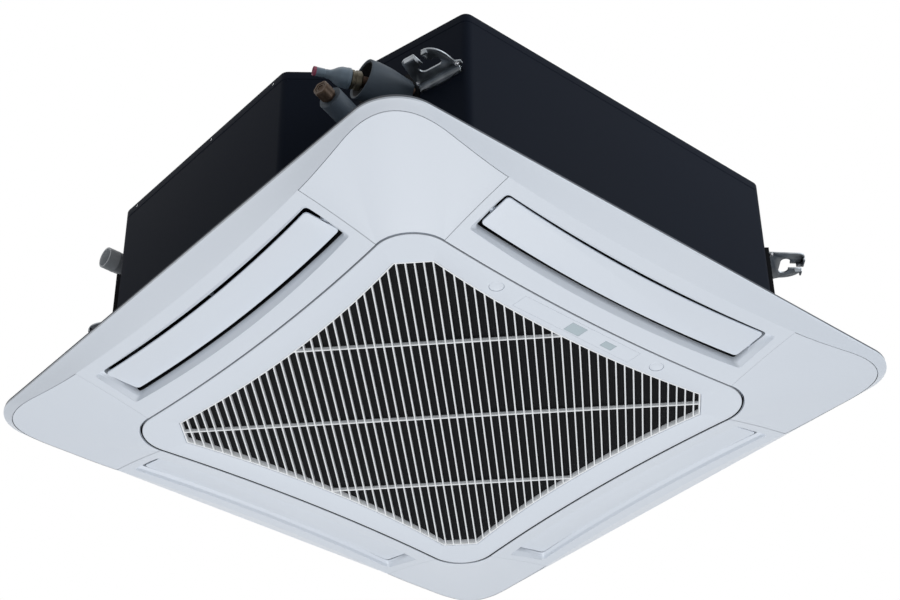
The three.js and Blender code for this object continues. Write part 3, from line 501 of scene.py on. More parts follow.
@dataclass
class OutletPanel:
    """The white frame round the grille, with an outlet and its duct on each side."""

    half: float = 475.0
    radius: float = 65.0
    rim_bottom: float = 42.0
    seal_bottom: float = 44.7
    top: float = 48.4
    shell: float = 6.0
    wall: float = 3.0
    inner: float = 346.0
    outer: float = 413.5
    throat: float = 408.8
    bow: float = 12.5
    half_length: float = 240.0
    flare: float = 9.5
    lip_inner: float = 340.2
    lip_outer: float = 418.0
    lip_inner_bow: float = 16.0
    lip_outer_bow: float = 10.0
    inner_height: float = 20.3
    throat_height: float = 29.0
    lining_height: float = 38.0
    corner: float = 7.0
    pocket: float = 3.3
    seam_gap: float = 0.4

    def bulge(self, x: np.ndarray) -> np.ndarray:
        """Returns how far an outlet's edges bow out at x, x^2 to the given bow at its end."""
        return self.bow * np.clip(np.abs(x) / self.half_length, 0, 1.06) ** 2

    def loop(self, outer: float, grow: float) -> np.ndarray:
        """Returns a plan loop on side 0 with the given outer edge, grown outwards all round."""
        return four_sided((self.half_length + grow,) * 2, lambda x: self.inner - grow + self.bulge(x),
                          lambda x: outer + grow + self.bulge(x), self.corner + grow)

    def lip(self) -> np.ndarray:
        """Returns the outlet's edge in the panel's face, where the bevelled recess meets it."""
        square = lambda x: np.clip(np.abs(x) / self.half_length, 0, 1.06) ** 2
        reach = self.half_length + self.flare
        return four_sided((reach, reach - 1.5), lambda x: self.lip_inner + self.lip_inner_bow * square(x),
                          lambda x: self.lip_outer + self.lip_outer_bow * square(x), self.corner * 0.7)

    def duct_mouth(self) -> tuple[np.ndarray, np.ndarray]:
        """Returns the duct's lower edge, and how far each of its points lies across the duct.

        The edge climbs evenly from the duct's inner side to its outer one.
        """
        plan = self.loop(self.throat, 0.0)
        share = (plan[:, 1] - self.bulge(plan[:, 0]) - self.inner) / (self.throat - self.inner)
        height = self.inner_height + (self.throat_height - self.inner_height) * share
        return at_height(plan, height), share

    def side_face(self, form: Form, side: int) -> None:
        """Adds one side's face, recess and duct.

        The face is a ring of quads blended between the outlet's lip and the side's outline,
        each point laid on the face by its own place. The lip turns over on a small round. The
        recess rises to the duct's mouth in two steps, which are steeper towards its outer side.
        """
        frame_loop = four_sided((COVER_EDGE, COVER_EDGE), seam_at, foot_at, 8.0, sharp=True)
        lip, duct, (mouth, share) = self.lip(), self.loop(self.throat, 0.0), self.duct_mouth()
        far = share ** 2
        fold = lambda w, h: np.stack([w - 0.5 * far, w - 0.5 * far, h + 0.12 * far], -1)
        rings = [on_face(lip + (frame_loop - lip) * w)
                 for w in (1.0, 0.9, 0.78, 0.62, 0.45, 0.3, 0.18, 0.09, 0.035, 0.012)]
        edge = on_face(lip)
        outside = self.loop(self.outer, self.wall)
        rings += [edge + [0, 0, 0.25], edge + (mouth - edge) * 0.06 + [0, 0, 0.35],
                  edge + (mouth - edge) * fold(0.72, 0.45), edge + (mouth - edge) * fold(0.8, 0.54),
                  mouth, at_height(duct, 45.0), at_height(duct, BODY_FACE),
                  at_height(outside, BODY_FACE), on_face(outside, self.shell)]
        rings += [on_face(outside + (frame_loop - outside) * w, self.shell) for w in (0.15, 0.4, 0.7, 1.0)]
        form.rings(*(turned(ring, side) for ring in rings), flip=True)

    def corner_grid(self, gap: float, low: float, high: float, lift: float) -> np.ndarray:
        """Lays out a corner of the face as a grid, from the seam to the rim's foot.

        At each level t the line runs straight on as the side's bowed edge, and turns the
        corner on a cubic curve. Each column climbs to the height of its own end on the foot.

        Args:
            gap: distance in from the corner's straight edges.
            low: level t at the seam's end, from 0 to 1.
            high: level t at the rim's end.
            lift: height above the face.

        Returns:
            Points, levels by places along them by 3, for the corner between sides 0 and 1.
        """
        t = np.append(np.linspace(low, high, 22), 1.0)[:, None]
        edge = COVER_EDGE + gap
        start = edge + (FOOT_SPAN - edge) * t + 0.6
        x = edge + (start - edge) * np.linspace(0, 1, 12)[None, :]
        y = seam_at(x) + (foot_at(x) - seam_at(x)) * t
        side = np.stack([-x, y], -1)
        a = side[:, -1]
        d = np.stack([-a[:, 1], -a[:, 0]], -1)
        slope = side[:, -1] - side[:, -2]
        slope /= np.linalg.norm(slope, axis=-1, keepdims=True)
        seam_share = SEAM_HANDLE / (SEAM_MID + SEAM_BOW - SEAM_SPAN)
        foot_share = FOOT_HANDLE / (FOOT_MID + FOOT_BOW - FOOT_SPAN)
        reach = (seam_share + (foot_share - seam_share) * t) * (a[:, 1] + a[:, 0])[:, None]
        w = np.linspace(0, 1, 26)[1:-1]
        turn = bezier(a[:, None], (a + reach * slope)[:, None], (d - reach * slope[:, ::-1])[:, None],
                      d[:, None], np.broadcast_to(w, (len(a), len(w))))
        other = np.stack([-side[:, ::-1, 1], -side[:, ::-1, 0]], -1)
        plan = np.concatenate([side, turn, other], 1)
        height = foot_height(plan[-1])[None] * face_rise(t) + lift
        return at_height(plan, height)[:-1]

    def build(self) -> bpy.types.Object:
        """Builds the whole frame: faces, corner pockets, rim, back and intake wall."""
        form = Form()
        for side in range(4):
            self.side_face(form, side)
            form.grid(turned(self.corner_grid(0.0, 0.0, 1.0, self.pocket), side))
            form.grid(turned(self.corner_grid(0.0, 0.0, 1.0, self.shell), side), flip=True)
        foot = bowed_square(FOOT_MID, FOOT_BOW, FOOT_SPAN, FOOT_HANDLE)
        low = foot_height(foot)
        edge, inside, land = self.rim_outlines()
        slope = [at_height(foot + (edge - foot) * w, low + (self.rim_bottom - low) * h)
                 for w, h in ((0.0, 0.0), (0.25, 0.24), (0.5, 0.49), (0.75, 0.745), (0.955, 0.94),
                              (0.985, 0.965))]
        form.rings(*slope, at_height(edge, self.rim_bottom + 0.4), at_height(edge, self.seal_bottom - 0.4),
                   at_height(inside, self.seal_bottom), at_height(land, self.seal_bottom),
                   at_height(land, low + self.shell), at_height(foot, low + self.shell), flip=True)
        seam = bowed_square(SEAM_MID, SEAM_BOW, SEAM_SPAN, SEAM_HANDLE)
        back = bowed_square(SEAM_MID + self.wall, SEAM_BOW, SEAM_SPAN, SEAM_HANDLE)
        form.rings(at_height(back, self.shell), at_height(back, BODY_FACE), at_height(seam, BODY_FACE),
                   at_height(seam, 0.0))
        self.stays(form)
        return form.finished("outlet_panel", 28)

    def rim_outlines(self) -> tuple[np.ndarray, np.ndarray, np.ndarray]:
        """Returns the rim's outer edge in plan, the same 0.8 mm in, and the land behind it."""
        handle, span = 0.56 * self.radius, self.half - self.radius
        return (bowed_square(self.half, 0.0, span, handle),
                bowed_square(self.half - 0.8, 0.0, span, handle),
                bowed_square(FOOT_MID - 4, FOOT_BOW, FOOT_SPAN, FOOT_HANDLE))

    def seal(self) -> bpy.types.Object:
        """Builds the soft grey strip on the rim's back, which meets the ceiling."""
        _, inside, land = self.rim_outlines()
        form = Form().grid(np.stack([
            at_height(inside, self.seal_bottom), at_height(inside, self.top - 0.4),
            at_height(inside + (land - inside) * 0.03, self.top), at_height(land, self.top),
            at_height(land, self.seal_bottom)]), close_rows=True, close_columns=True)
        return form.finished("panel_seal", 35)

    def linings(self) -> bpy.types.Object:
        """Builds the black sleeve inside each duct, a millimetre thick, in a black darker than the black plastic,
        which adds painted shade.

        Its lower edge lies just above the duct's mouth on the inner side, and higher on the
        ends and the outer side.
        """
        form, share = Form(), self.duct_mouth()[1]
        low = self.inner_height + (self.lining_height - self.inner_height) * smoothstep(4 * share)
        near, far = self.loop(self.throat, -0.2), self.loop(self.throat, -1.2)
        for side in range(4):
            rings = [at_height(near, low + 0.3), at_height(far, low + 0.3), at_height(far, BODY_FACE - 0.3),
                     at_height(near, BODY_FACE - 0.3)]
            form.grid(np.stack([turned(ring, side) for ring in rings]), close_rows=True, close_columns=True)
        return form.finished("outlet_linings_and_shade", 40)

    def seam_shade_strip(self) -> bpy.types.Object:
        """Builds the dark strip along the panel's edge round the grille: painted shade in the gap to the grille.
        """
        near, far = (bowed_square(SEAM_MID - d, SEAM_BOW, SEAM_SPAN, SEAM_HANDLE) for d in (0.1, 0.5))
        form = Form().grid(np.stack([at_height(near, 1.2), at_height(far, 1.2), at_height(far, 30.0),
                                     at_height(near, 30.0)]), close_rows=True, close_columns=True)
        return form.finished("seam_shade_strip", 40)

    def stays(self, form: Form) -> None:
        """Adds the thin web at the middle of each outlet's outer edge."""
        for side in range(4):
            part = Form().box((-1.2, self.outer - 16, 35.5), (1.2, self.outer + 1, self.top))
            form.points.append(turned(part.points[0], side))
            form.quads.append(part.quads[0] + form.count)
            form.count += len(part.points[0])
            for ring in part.caps:
                form.cap(turned(np.concatenate(part.points)[ring], side))

    def covers(self) -> list[bpy.types.Object]:
        """Builds the four lift-off corner covers, with edges turned in by a small round."""
        pieces = []
        for corner in range(4):
            side = (corner + 3) % 4
            face = self.corner_grid(self.seam_gap + 0.3, 0.003, 0.992, 0.0)
            rim = self.corner_grid(self.seam_gap, 0.001, 0.994, 0.35)
            back = self.corner_grid(self.seam_gap, 0.001, 0.994, self.pocket - 0.3)
            border = lambda g: np.concatenate([g[0], g[1:-1, -1], g[-1, ::-1], g[-2:0:-1, 0]])
            form = Form().grid(turned(face, side))
            form.rings(*(turned(border(g), side) for g in (face, rim, back)))
            form.grid(turned(back, side), flip=True)
            piece = form.made(f"cover_shell_{corner + 1}")
            smooth(piece, 35)
            pieces.append(piece)
        return pieces


@dataclass
class Louvre:
    """One outlet flap: a thin bowed blade on two pivots."""

    side: int
    open_at_rest: float
    inner: float = 350.5
    outer: float = 405.5
    half_length: float = 236.0
    bow: float = 12.5
    thickness: float = 3.0
    drop: float = 6.5
    tilt: float = 9.3
    pivot: tuple[float, float] = (387.0, 29.0)
    corner: float = 7.0

    def build(self) -> bpy.types.Object:
        """Builds the blade from loops: flat below, a rounded edge, slightly crowned above."""
        bow = lambda x: self.bow * (x / self.half_length) ** 2
        form, (py, pz) = Form(), self.pivot

        def loop(inset: float, z: float) -> np.ndarray:
            """Returns the blade's outline moved in by an inset, at a height."""
            plan = four_sided((self.half_length - inset,) * 2, lambda x: self.inner + inset - py + bow(x),
                              lambda x: self.outer - inset - py + bow(x), self.corner - inset * 0.6)
            return at_height(plan, z)

        low, high = -self.drop, self.thickness - self.drop
        rings = [loop(1.6, low), loop(0.5, low + 0.25), loop(0.0, low + 0.9), loop(0.0, high - 0.8),
                 loop(0.4, high - 0.2), loop(1.4, high), loop(9.0, high), loop(9.6, high + 1.0),
                 loop(11.0, high + 1.0), loop(11.6, high)]
        form.rings(*rings).cap(rings[-1]).cap(rings[0], flip=True)
        for end in (-1, 1):
            pin = np.array([[0.01, 0], [2.6, 0], [2.6, 10.4], [2.0, 11], [0.01, 11]])
            form.revolve(pin, np.array([end * (self.half_length - 4), 0, 0]),
                         np.array([end * 300.0, 0, 0]), 20)
            near, far = sorted((end * 232.0, end * 236.0))
            form.box((near, -5, low + 0.5), (far, 5, 4.5))
        angle = math.radians(self.tilt - self.open_at_rest)
        c, s = math.cos(angle), math.sin(angle)
        spin = np.array([[1, 0, 0], [0, c, -s], [0, s, c]])
        form.points = [turned(p @ spin.T + [0, py, pz], self.side) for p in form.points]
        return form.finished(f"blade_{self.side + 1}", 30)


# ------------------------------------------------------------------ intake grille

@dataclass
class IntakeGrille:
    """The hinged frame, its slanting slats and the ribs across them."""

    outline_mid: float = 310.8
    opening_mid: float = 266.0
    opening_bow: float = 19.0
    opening_span: float = 247.0
    thickness: float = 9.0
    pitch: float = 12.16
    shift: float = -0.8
    slat_width: float = 2.2
    rib_width: float = 2.4
    rib_top: float = 6.0
    border_width: float = 2.4
    groove: float = 0.8
    inset: float = 0.6
    latch: tuple[float, float, float] = (148.0, -293.9, 10.5)
    strip: tuple[float, float, float, float] = (-104.3, -303.1, 108.3, -276.1)

    def frame(self) -> bpy.types.Object:
        """Builds the frame as a rounded profile carried round it, then cuts its pockets."""
        outer = lambda d: bowed_square(self.outline_mid + d, SEAM_BOW, SEAM_SPAN, SEAM_HANDLE)
        inner = lambda d: bowed_square(self.opening_mid + d, self.opening_bow, self.opening_span)
        top = self.thickness
        form = Form().rings(
            at_height(outer(0.0), top), at_height(outer(0.0), 1.0), at_height(outer(-0.3), 0.35),
            at_height(outer(-1.0), 0.0), at_height(outer(-6.0), 0.0), at_height(inner(1.0), 0.0),
            at_height(inner(0.3), 0.35), at_height(inner(0.0), 1.0), at_height(inner(-0.4), top),
            at_height(outer(0.0), top))
        piece = form.made("grille_frame")
        x, y, radius = self.latch
        x0, y0, x1, y1 = self.strip
        disc = np.array([[0.01, -1], [radius, -1], [radius, top + 1], [0.01, top + 1]], float)
        tools = [Form().revolve(disc, np.array([end * x, y, 0]), np.array([end * x, y, 50]), 64)
                 for end in (-1, 1)]
        tools.append(Form().box((x0, y0, -1), (x1, y1, 1.5)))
        tools += [Form().box((end * 150 - 3, 300, 0.4), (end * 150 + 3, 318, top + 1)) for end in (-1, 1)]
        cut(piece, *tools)
        smooth(piece, 30)
        return piece

    def opening(self, inset: float) -> np.ndarray:
        """Returns the opening's plan, moved in by an inset."""
        return bowed_square(self.opening_mid - inset, self.opening_bow, self.opening_span - inset * 0.42)

    def border(self) -> bpy.types.Object:
        """Builds the bar that ends the slats, a narrow groove inside the frame."""
        out, mid = self.opening(self.groove), self.opening(self.groove + self.border_width / 2)
        far, low = self.opening(self.groove + self.border_width), self.inset
        form = Form().grid(np.stack([
            at_height(out, self.thickness), at_height(out, low + 0.9),
            at_height(out * 0.7 + mid * 0.3, low + 0.2), at_height(mid, low),
            at_height(far * 0.7 + mid * 0.3, low + 0.2), at_height(far, low + 0.9),
            at_height(far, self.thickness)]), close_rows=True, close_columns=True)
        return form.finished("grille_border", 50)

    def slats(self) -> bpy.types.Object:
        """Builds the slats: a rounded, tapered bar at each step across, ended by the border."""
        along, across = np.array([1.0, 1.0]) / math.sqrt(2), np.array([-1.0, 1.0]) / math.sqrt(2)
        count = int((self.opening_mid + self.opening_bow - 19.0) * math.sqrt(2) / self.pitch)
        places = np.arange(-count, count + 1) * self.pitch + self.shift
        return self.bars("grille_slats", along, across, places, self.slat_width, self.thickness)

    def ribs(self) -> bpy.types.Object:
        """Builds the three ribs across the slats."""
        along, across = np.array([1.0, -1.0]) / math.sqrt(2), np.array([1.0, 1.0]) / math.sqrt(2)
        step = self.opening_mid / math.sqrt(2)
        return self.bars("grille_ribs", along, across, np.array([-step, 0.0, step]), self.rib_width,
                         self.rib_top)

    def bars(self, name: str, along: np.ndarray, across: np.ndarray, offsets: np.ndarray, width: float,
             top: float) -> bpy.types.Object:
        """Builds parallel bars that end in the opening's border.

        Each bar's line crosses the border where the border's signed distance to it changes
        sign. Its section is a nose of half a circle below and straight sides, narrower above.

        Args:
            name: the piece's name.
            along: unit vector along the bars.
            across: unit vector across them.
            offsets: each bar's distance from the centre.
            width: of a bar.
            top: height of its upper edge.

        Returns:
            The new object.
        """
        border = self.opening(self.groove + self.border_width / 2)
        far = border @ across
        near_end, next_end = far[None] - offsets[:, None], np.roll(far, -1)[None] - offsets[:, None]
        crossing = near_end * next_end <= 0
        share = near_end / (near_end - next_end + 1e-9)
        reach = border @ along
        place = reach[None] + (np.roll(reach, -1) - reach)[None] * share
        start = np.where(crossing, place, np.inf).min(1)
        end = np.where(crossing, place, -np.inf).max(1)
        good = end - start > 2 * width
        start, end, offsets = start[good], end[good], offsets[good]
        angle = np.linspace(math.pi, 2 * math.pi, 7)
        half = width / 2
        nose = self.inset + half
        section = np.concatenate([np.stack([half * np.cos(angle), nose + half * np.sin(angle)], -1),
                                  [[half * 0.72, top], [-half * 0.72, top]]])
        form = Form()
        for at, a, b in zip(offsets, start, end):
            rings = [at_height(along * s + across * at + np.outer(section[:, 0], across), section[:, 1])
                     for s in (a, b)]
            form.rings(*rings).cap(rings[0]).cap(rings[1])
        return form.finished(name, 50)

    def button(self, name: str, end: int) -> bpy.types.Object:
        """Builds a latch button: a shallow dish with a rounded rim."""
        x, y, radius = self.latch
        r = radius - 0.45
        profile = np.array([[0.01, 0.9], [r - 4.2, 0.85], [r - 2.6, 0.5], [r - 1.5, 0.12], [r - 0.8, 0.1],
                            [r - 0.2, 0.4], [r, 1.0], [r, 5.3], [r + 1.6, 5.3], [r + 1.6, 8.6],
                            [0.01, 8.6]])
        form = Form().revolve(profile, np.array([end * x, y, 0]), np.array([end * x, y, 50]), 64)
        return form.finished(name, 40)


# ------------------------------------------------------------------ body

@dataclass
class Body:
    """The sheet-metal body: walls, top with pressed ribs, and screws."""

    half: float = 420.0
    bottom: float = 70.0
    top: float = 310.0
    radius: float = 14.0

    def corners(self) -> np.ndarray:
        """Returns the plan's corners, anticlockwise from the pipe corner."""
        h = self.half
        return np.array([[-302, -h], [263, -h], [h, -222], [h, 222], [263, h], [-263, h], [-h, 222],
                         [-h, -173], [-344, -233]], float)

    def plan(self, inset: float, per_corner: int = 9) -> np.ndarray:
        """Draws the plan moved in by an inset, each corner a quadratic round."""
        c = self.corners()
        a = c - np.roll(c, 1, 0)
        b = np.roll(c, -1, 0) - c
        a /= np.linalg.norm(a, axis=1, keepdims=True)
        b /= np.linalg.norm(b, axis=1, keepdims=True)
        na, nb = np.stack([-a[:, 1], a[:, 0]], -1), np.stack([-b[:, 1], b[:, 0]], -1)
        moved = c + (na + nb) * (inset / (1 + (na * nb).sum(1)))[:, None]
        inward = (a[:, 0] * b[:, 1] - a[:, 1] * b[:, 0]) > 0
        reach = np.maximum(np.where(inward, self.radius - inset, self.radius + inset), 1.0)
        half = np.arccos(np.clip(-(a * b).sum(1), -1, 1)) / 2
        step = (reach / np.tan(half))[:, None]
        start, end = moved - a * step, moved + b * step
        t = np.linspace(0, 1, per_corner)[None, :, None]
        loop = (1 - t) ** 2 * start[:, None] + 2 * t * (1 - t) * moved[:, None] + t * t * end[:, None]
        return loop.reshape(-1, 2)

    def shell(self) -> bpy.types.Object:
        """Builds the walls and top: a profile carried round the plan, folded in at the bottom."""
        p, top = self.plan, self.top
        rings = [at_height(p(16.0), self.bottom + 0.02), at_height(p(0.9), self.bottom + 0.02),
                 at_height(p(0.2), self.bottom + 0.3), at_height(p(0.0), self.bottom + 1.2),
                 at_height(p(0.0), top - 17.0), at_height(p(0.5), top - 16.4), at_height(p(0.5), top - 14.6),
                 at_height(p(0.0), top - 14.0), at_height(p(0.0), top - 2.5), at_height(p(0.5), top - 0.8),
                 at_height(p(1.6), top - 0.05), at_height(p(3.0), top), at_height(p(26.0), top),
                 at_height(p(29.0), top - 2.2), at_height(p(40.0), top - 2.2), at_height(p(43.0), top)]
        form = Form().rings(*rings)
        form.cap(rings[-1])
        return form.finished("body_shell", 28, 0.01)

    def ribs(self) -> bpy.types.Object:
        """Builds the pressed stiffening ribs of the top, each a low rounded bar sunk in it."""
        form = Form()
        angle = np.linspace(0, math.pi, 9)
        for k in range(8):
            turn = k * math.pi / 4 + math.pi / 8
            u = np.array([math.cos(turn), math.sin(turn)])
            v = np.array([-u[1], u[0]])
            s = np.linspace(0, 1, 40)
            fade = np.sqrt(np.clip(1 - (2 * s - 1) ** 12, 0, 1))
            place = 110 + 220 * s
            width = 7.0 * fade
            points = (place[:, None, None] * np.append(u, 0) + (width[:, None] * np.cos(angle))[..., None]
                      * np.append(v, 0) + [0, 0, self.top - 2.0]
                      + (1.9 * fade[:, None] * np.sin(angle))[..., None] * [0, 0, 1])
            form.grid(points)
        return form.finished("body_top_ribs", 60, 0.0001)

    def screw(self, form: Form, at: tuple[float, float, float], out: tuple[float, float, float],
              radius: float = 4.2) -> None:
        """Adds a pan-head screw with a washer face at a point, its head facing outwards."""
        r = radius
        profile = np.array([[r * 1.35, 0.0], [r * 1.35, 0.5], [r * 1.3, 0.7], [r, 0.75], [r * 0.97, 1.4],
                            [r * 0.8, 2.1], [r * 0.45, 2.5], [r * 0.42, 1.7], [0.01, 1.6]])
        start = np.array(at, float)
        form.revolve(profile, start, start + np.array(out, float), 20)

    def screws(self) -> bpy.types.Object:
        """Builds the silver screws along the top edge of the two side walls."""
        form = Form()
        h, z = self.half - 2.25, self.top - 7.0
        for y in (-148.5, 1.4, 195.0):
            for end in (-1, 1):
                self.screw(form, (end * h, y, z), (end, 0, 0), 2.6)
        return form.finished("body_screws", 40)


@dataclass
class Hangers:
    """The four slotted brackets, their wall flanges and their screws."""

    z: float = 215.0
    sheet: float = 3.0
    nose: float = 27.0
    reach: float = 29.0
    lip: float = 9.0
    lip_return: float = 11.0
    slot_length: float = 34.0
    slot_width: float = 14.0
    mouth: float = 12.0
    bend: float = 9.0
    flange_bottom: float = 203.5
    root: float = 33.0
    rods: tuple = ((-340.0, -390.0), (340.0, -390.0), (340.0, 390.0), (-340.0, 390.0))

    def wall(self, index: int) -> tuple[np.ndarray, np.ndarray, np.ndarray]:
        """Returns a bracket wall's first corner, its run and its outward normal in plan."""
        c = Body().corners()
        a, b = ((c[8], c[0]), (c[1], c[2]), (c[3], c[4]), (c[5], c[6]))[index]
        run = (b - a) / np.linalg.norm(b - a)
        return a, run, np.array([run[1], -run[0]])

    def measures(self, index: int) -> tuple[float, float, float, float, float]:
        """Returns a bracket's rod place along the wall and off it, its two ends and its base."""
        a, run, out = self.wall(index)
        rod = np.array(self.rods[index])
        at, off = float((rod - a) @ run), float((rod - a) @ out)
        if index == 0:
            return at, off, at - 37.0, at + 29.5, 0.3
        return at, off, at + 2 - self.root, at + 2 + self.root, 6.3

    def build(self, index: int) -> bpy.types.Object:
        """Builds one bracket's plate, with its rounded nose, slot, mouth and turned-down lips.

        The plate is an outline in the wall's frame. The slot is cut out of it, and the lips
        are the nose's edge and the mouth's sides turned down.
        """
        a, run, out = self.wall(index)
        at, off, low, high, base = self.measures(index)
        edge, reach, root = off + self.nose, self.reach, base + self.bend
        turn = np.linspace(0, math.pi / 2, 12)
        arc = np.stack([np.cos(turn), np.sin(turn)], -1) * [20.0, 30.0]
        right = np.array([at + reach - 20.0, edge - 30.0]) + arc
        arc = np.stack([np.cos(turn), np.sin(turn)], -1) * [9.0, 8.0]
        left = (np.array([at - reach + 9.0, edge - 8.0]) + arc * [-1, 1])[::-1]
        ear = [[high, root - 3], [high + 6, root - 3], [high + 7, root + 3], [high, root + 7]]
        outline = np.concatenate([[[low, root - 0.2]], ear, right, left])
        place = lambda p: p[..., :1] * run + p[..., 1:] * out + a
        ring = lambda z: at_height(place(outline), z)
        form = Form().rings(ring(self.z - self.sheet), ring(self.z))
        form.cap(ring(self.z)).cap(ring(self.z - self.sheet), flip=True)
        piece = form.made(f"bracket_{index + 1}")
        run_half, r = self.slot_length / 2 - self.slot_width / 2, self.slot_width / 2
        turn = np.linspace(-math.pi / 2, math.pi / 2, 14)
        end = np.stack([np.cos(turn), np.sin(turn)], -1) * r
        m = self.mouth / 2
        slot = np.concatenate([end + [at + run_half, off], [[at + m, off + r], [at + m, edge + 3],
                               [at - m, edge + 3], [at - m, off + r]], end[::-1] * [-1, 1]
                               + [at - run_half, off]])
        tool = Form().rings(at_height(place(slot), self.z - 9), at_height(place(slot), self.z + 3))
        tool.cap(at_height(place(slot), self.z + 3)).cap(at_height(place(slot), self.z - 9), flip=True)
        cut(piece, tool)
        extra, top = Form(), self.z - self.sheet + 0.1
        for sign in (-1, 1):
            ends = sorted((at + sign * m, at + sign * (reach - (7 if sign < 0 else 14))))
            self.plate(extra, place, (ends[0], edge - self.sheet), (ends[1], edge), self.z - self.lip, top)
            ends = sorted((at + sign * m, at + sign * (m + 2.5)))
            self.plate(extra, place, (ends[0], edge - self.lip_return), (ends[1], edge - 1),
                       self.z - self.lip, top)
        join(piece, extra.made("bracket_extra"))
        bevel(piece, 0.6, 2, 40)
        smooth(piece, 40)
        return piece

    def flange(self, index: int) -> bpy.types.Object:
        """Builds a bracket's bend and flange: a quarter turn down from the plate to the wall.

        The section is a quarter ring of the sheet's thickness and a straight leg below it,
        carried along the wall. Its lower edge is cut to a shallow curve at both ends.
        """
        a, run, out = self.wall(index)
        _, _, low, high, base = self.measures(index)
        turn = np.linspace(math.pi / 2, math.pi, 10)
        curve = np.stack([np.cos(turn), np.sin(turn)], -1)
        centre = np.array([base + self.bend, self.z - self.bend])
        place = np.linspace(-1, 1, 25)
        rings = []
        for p in place:
            bottom = self.flange_bottom + 9.0 * abs(p) ** 3
            leg = np.array([[base, bottom], [base + self.sheet, bottom]])
            section = np.concatenate([centre + curve * self.bend, leg,
                                      (centre + curve * (self.bend - self.sheet))[::-1]])
            at_wall = (low + high) / 2 + p * (high - low) / 2
            rings.append(at_height(run * at_wall + np.outer(section[:, 0], out) + a, section[:, 1]))
        form = Form().rings(*rings).cap(rings[0], flip=True).cap(rings[-1])
        piece = form.made(f"bracket_flange_{index + 1}")
        bevel(piece, 0.5, 2, 50)
        smooth(piece, 40)
        return piece

    def plate(self, form: Form, place, low: tuple[float, float], high: tuple[float, float],
              z0: float, z1: float) -> None:
        """Adds a box given in the wall's frame: from low to high in plan, between two heights."""
        (x0, y0), (x1, y1) = low, high
        loop = place(np.array([[x0, y0], [x1, y0], [x1, y1], [x0, y1]]))
        form.rings(at_height(loop, z0), at_height(loop, z1))
        form.cap(at_height(loop, z1)).cap(at_height(loop, z0), flip=True)

    def screws(self) -> bpy.types.Object:
        """Builds two screws under the ends of each bracket's plate, which also paint highlights at its bend, and
        two in each corner plate.
        """
        form, body = Form(), Body()
        for index in range(4):
            a, run, out = self.wall(index)
            _, _, low, high, base = self.measures(index)
            # The two heads under the plate's ends are bright steel placed as painted highlights where the plate
            # starts to bend.
            for s in (low + 3.0, high - 1.0):
                p = a + run * s + out * (base + 11.0)
                body.screw(form, (p[0], p[1], self.z - self.sheet), (0, 0, -1), 3.0)
            if index:
                for s in (20.0, 232.0):
                    p = a + run * s + out * 6.2
                    body.screw(form, (p[0], p[1], 110.0), (out[0], out[1], 0), 3.0)
        return form.finished("bracket_screws_and_painted_glints", 40)


def join(piece: bpy.types.Object, other: bpy.types.Object) -> None:
    """Adds another object's mesh to a piece and removes the other."""
    work = bmesh.new()
    work.from_mesh(piece.data)
    work.from_mesh(other.data)
    work.to_mesh(piece.data)
    work.free()
    mesh = other.data
    bpy.data.objects.remove(other)
    bpy.data.meshes.remove(mesh)


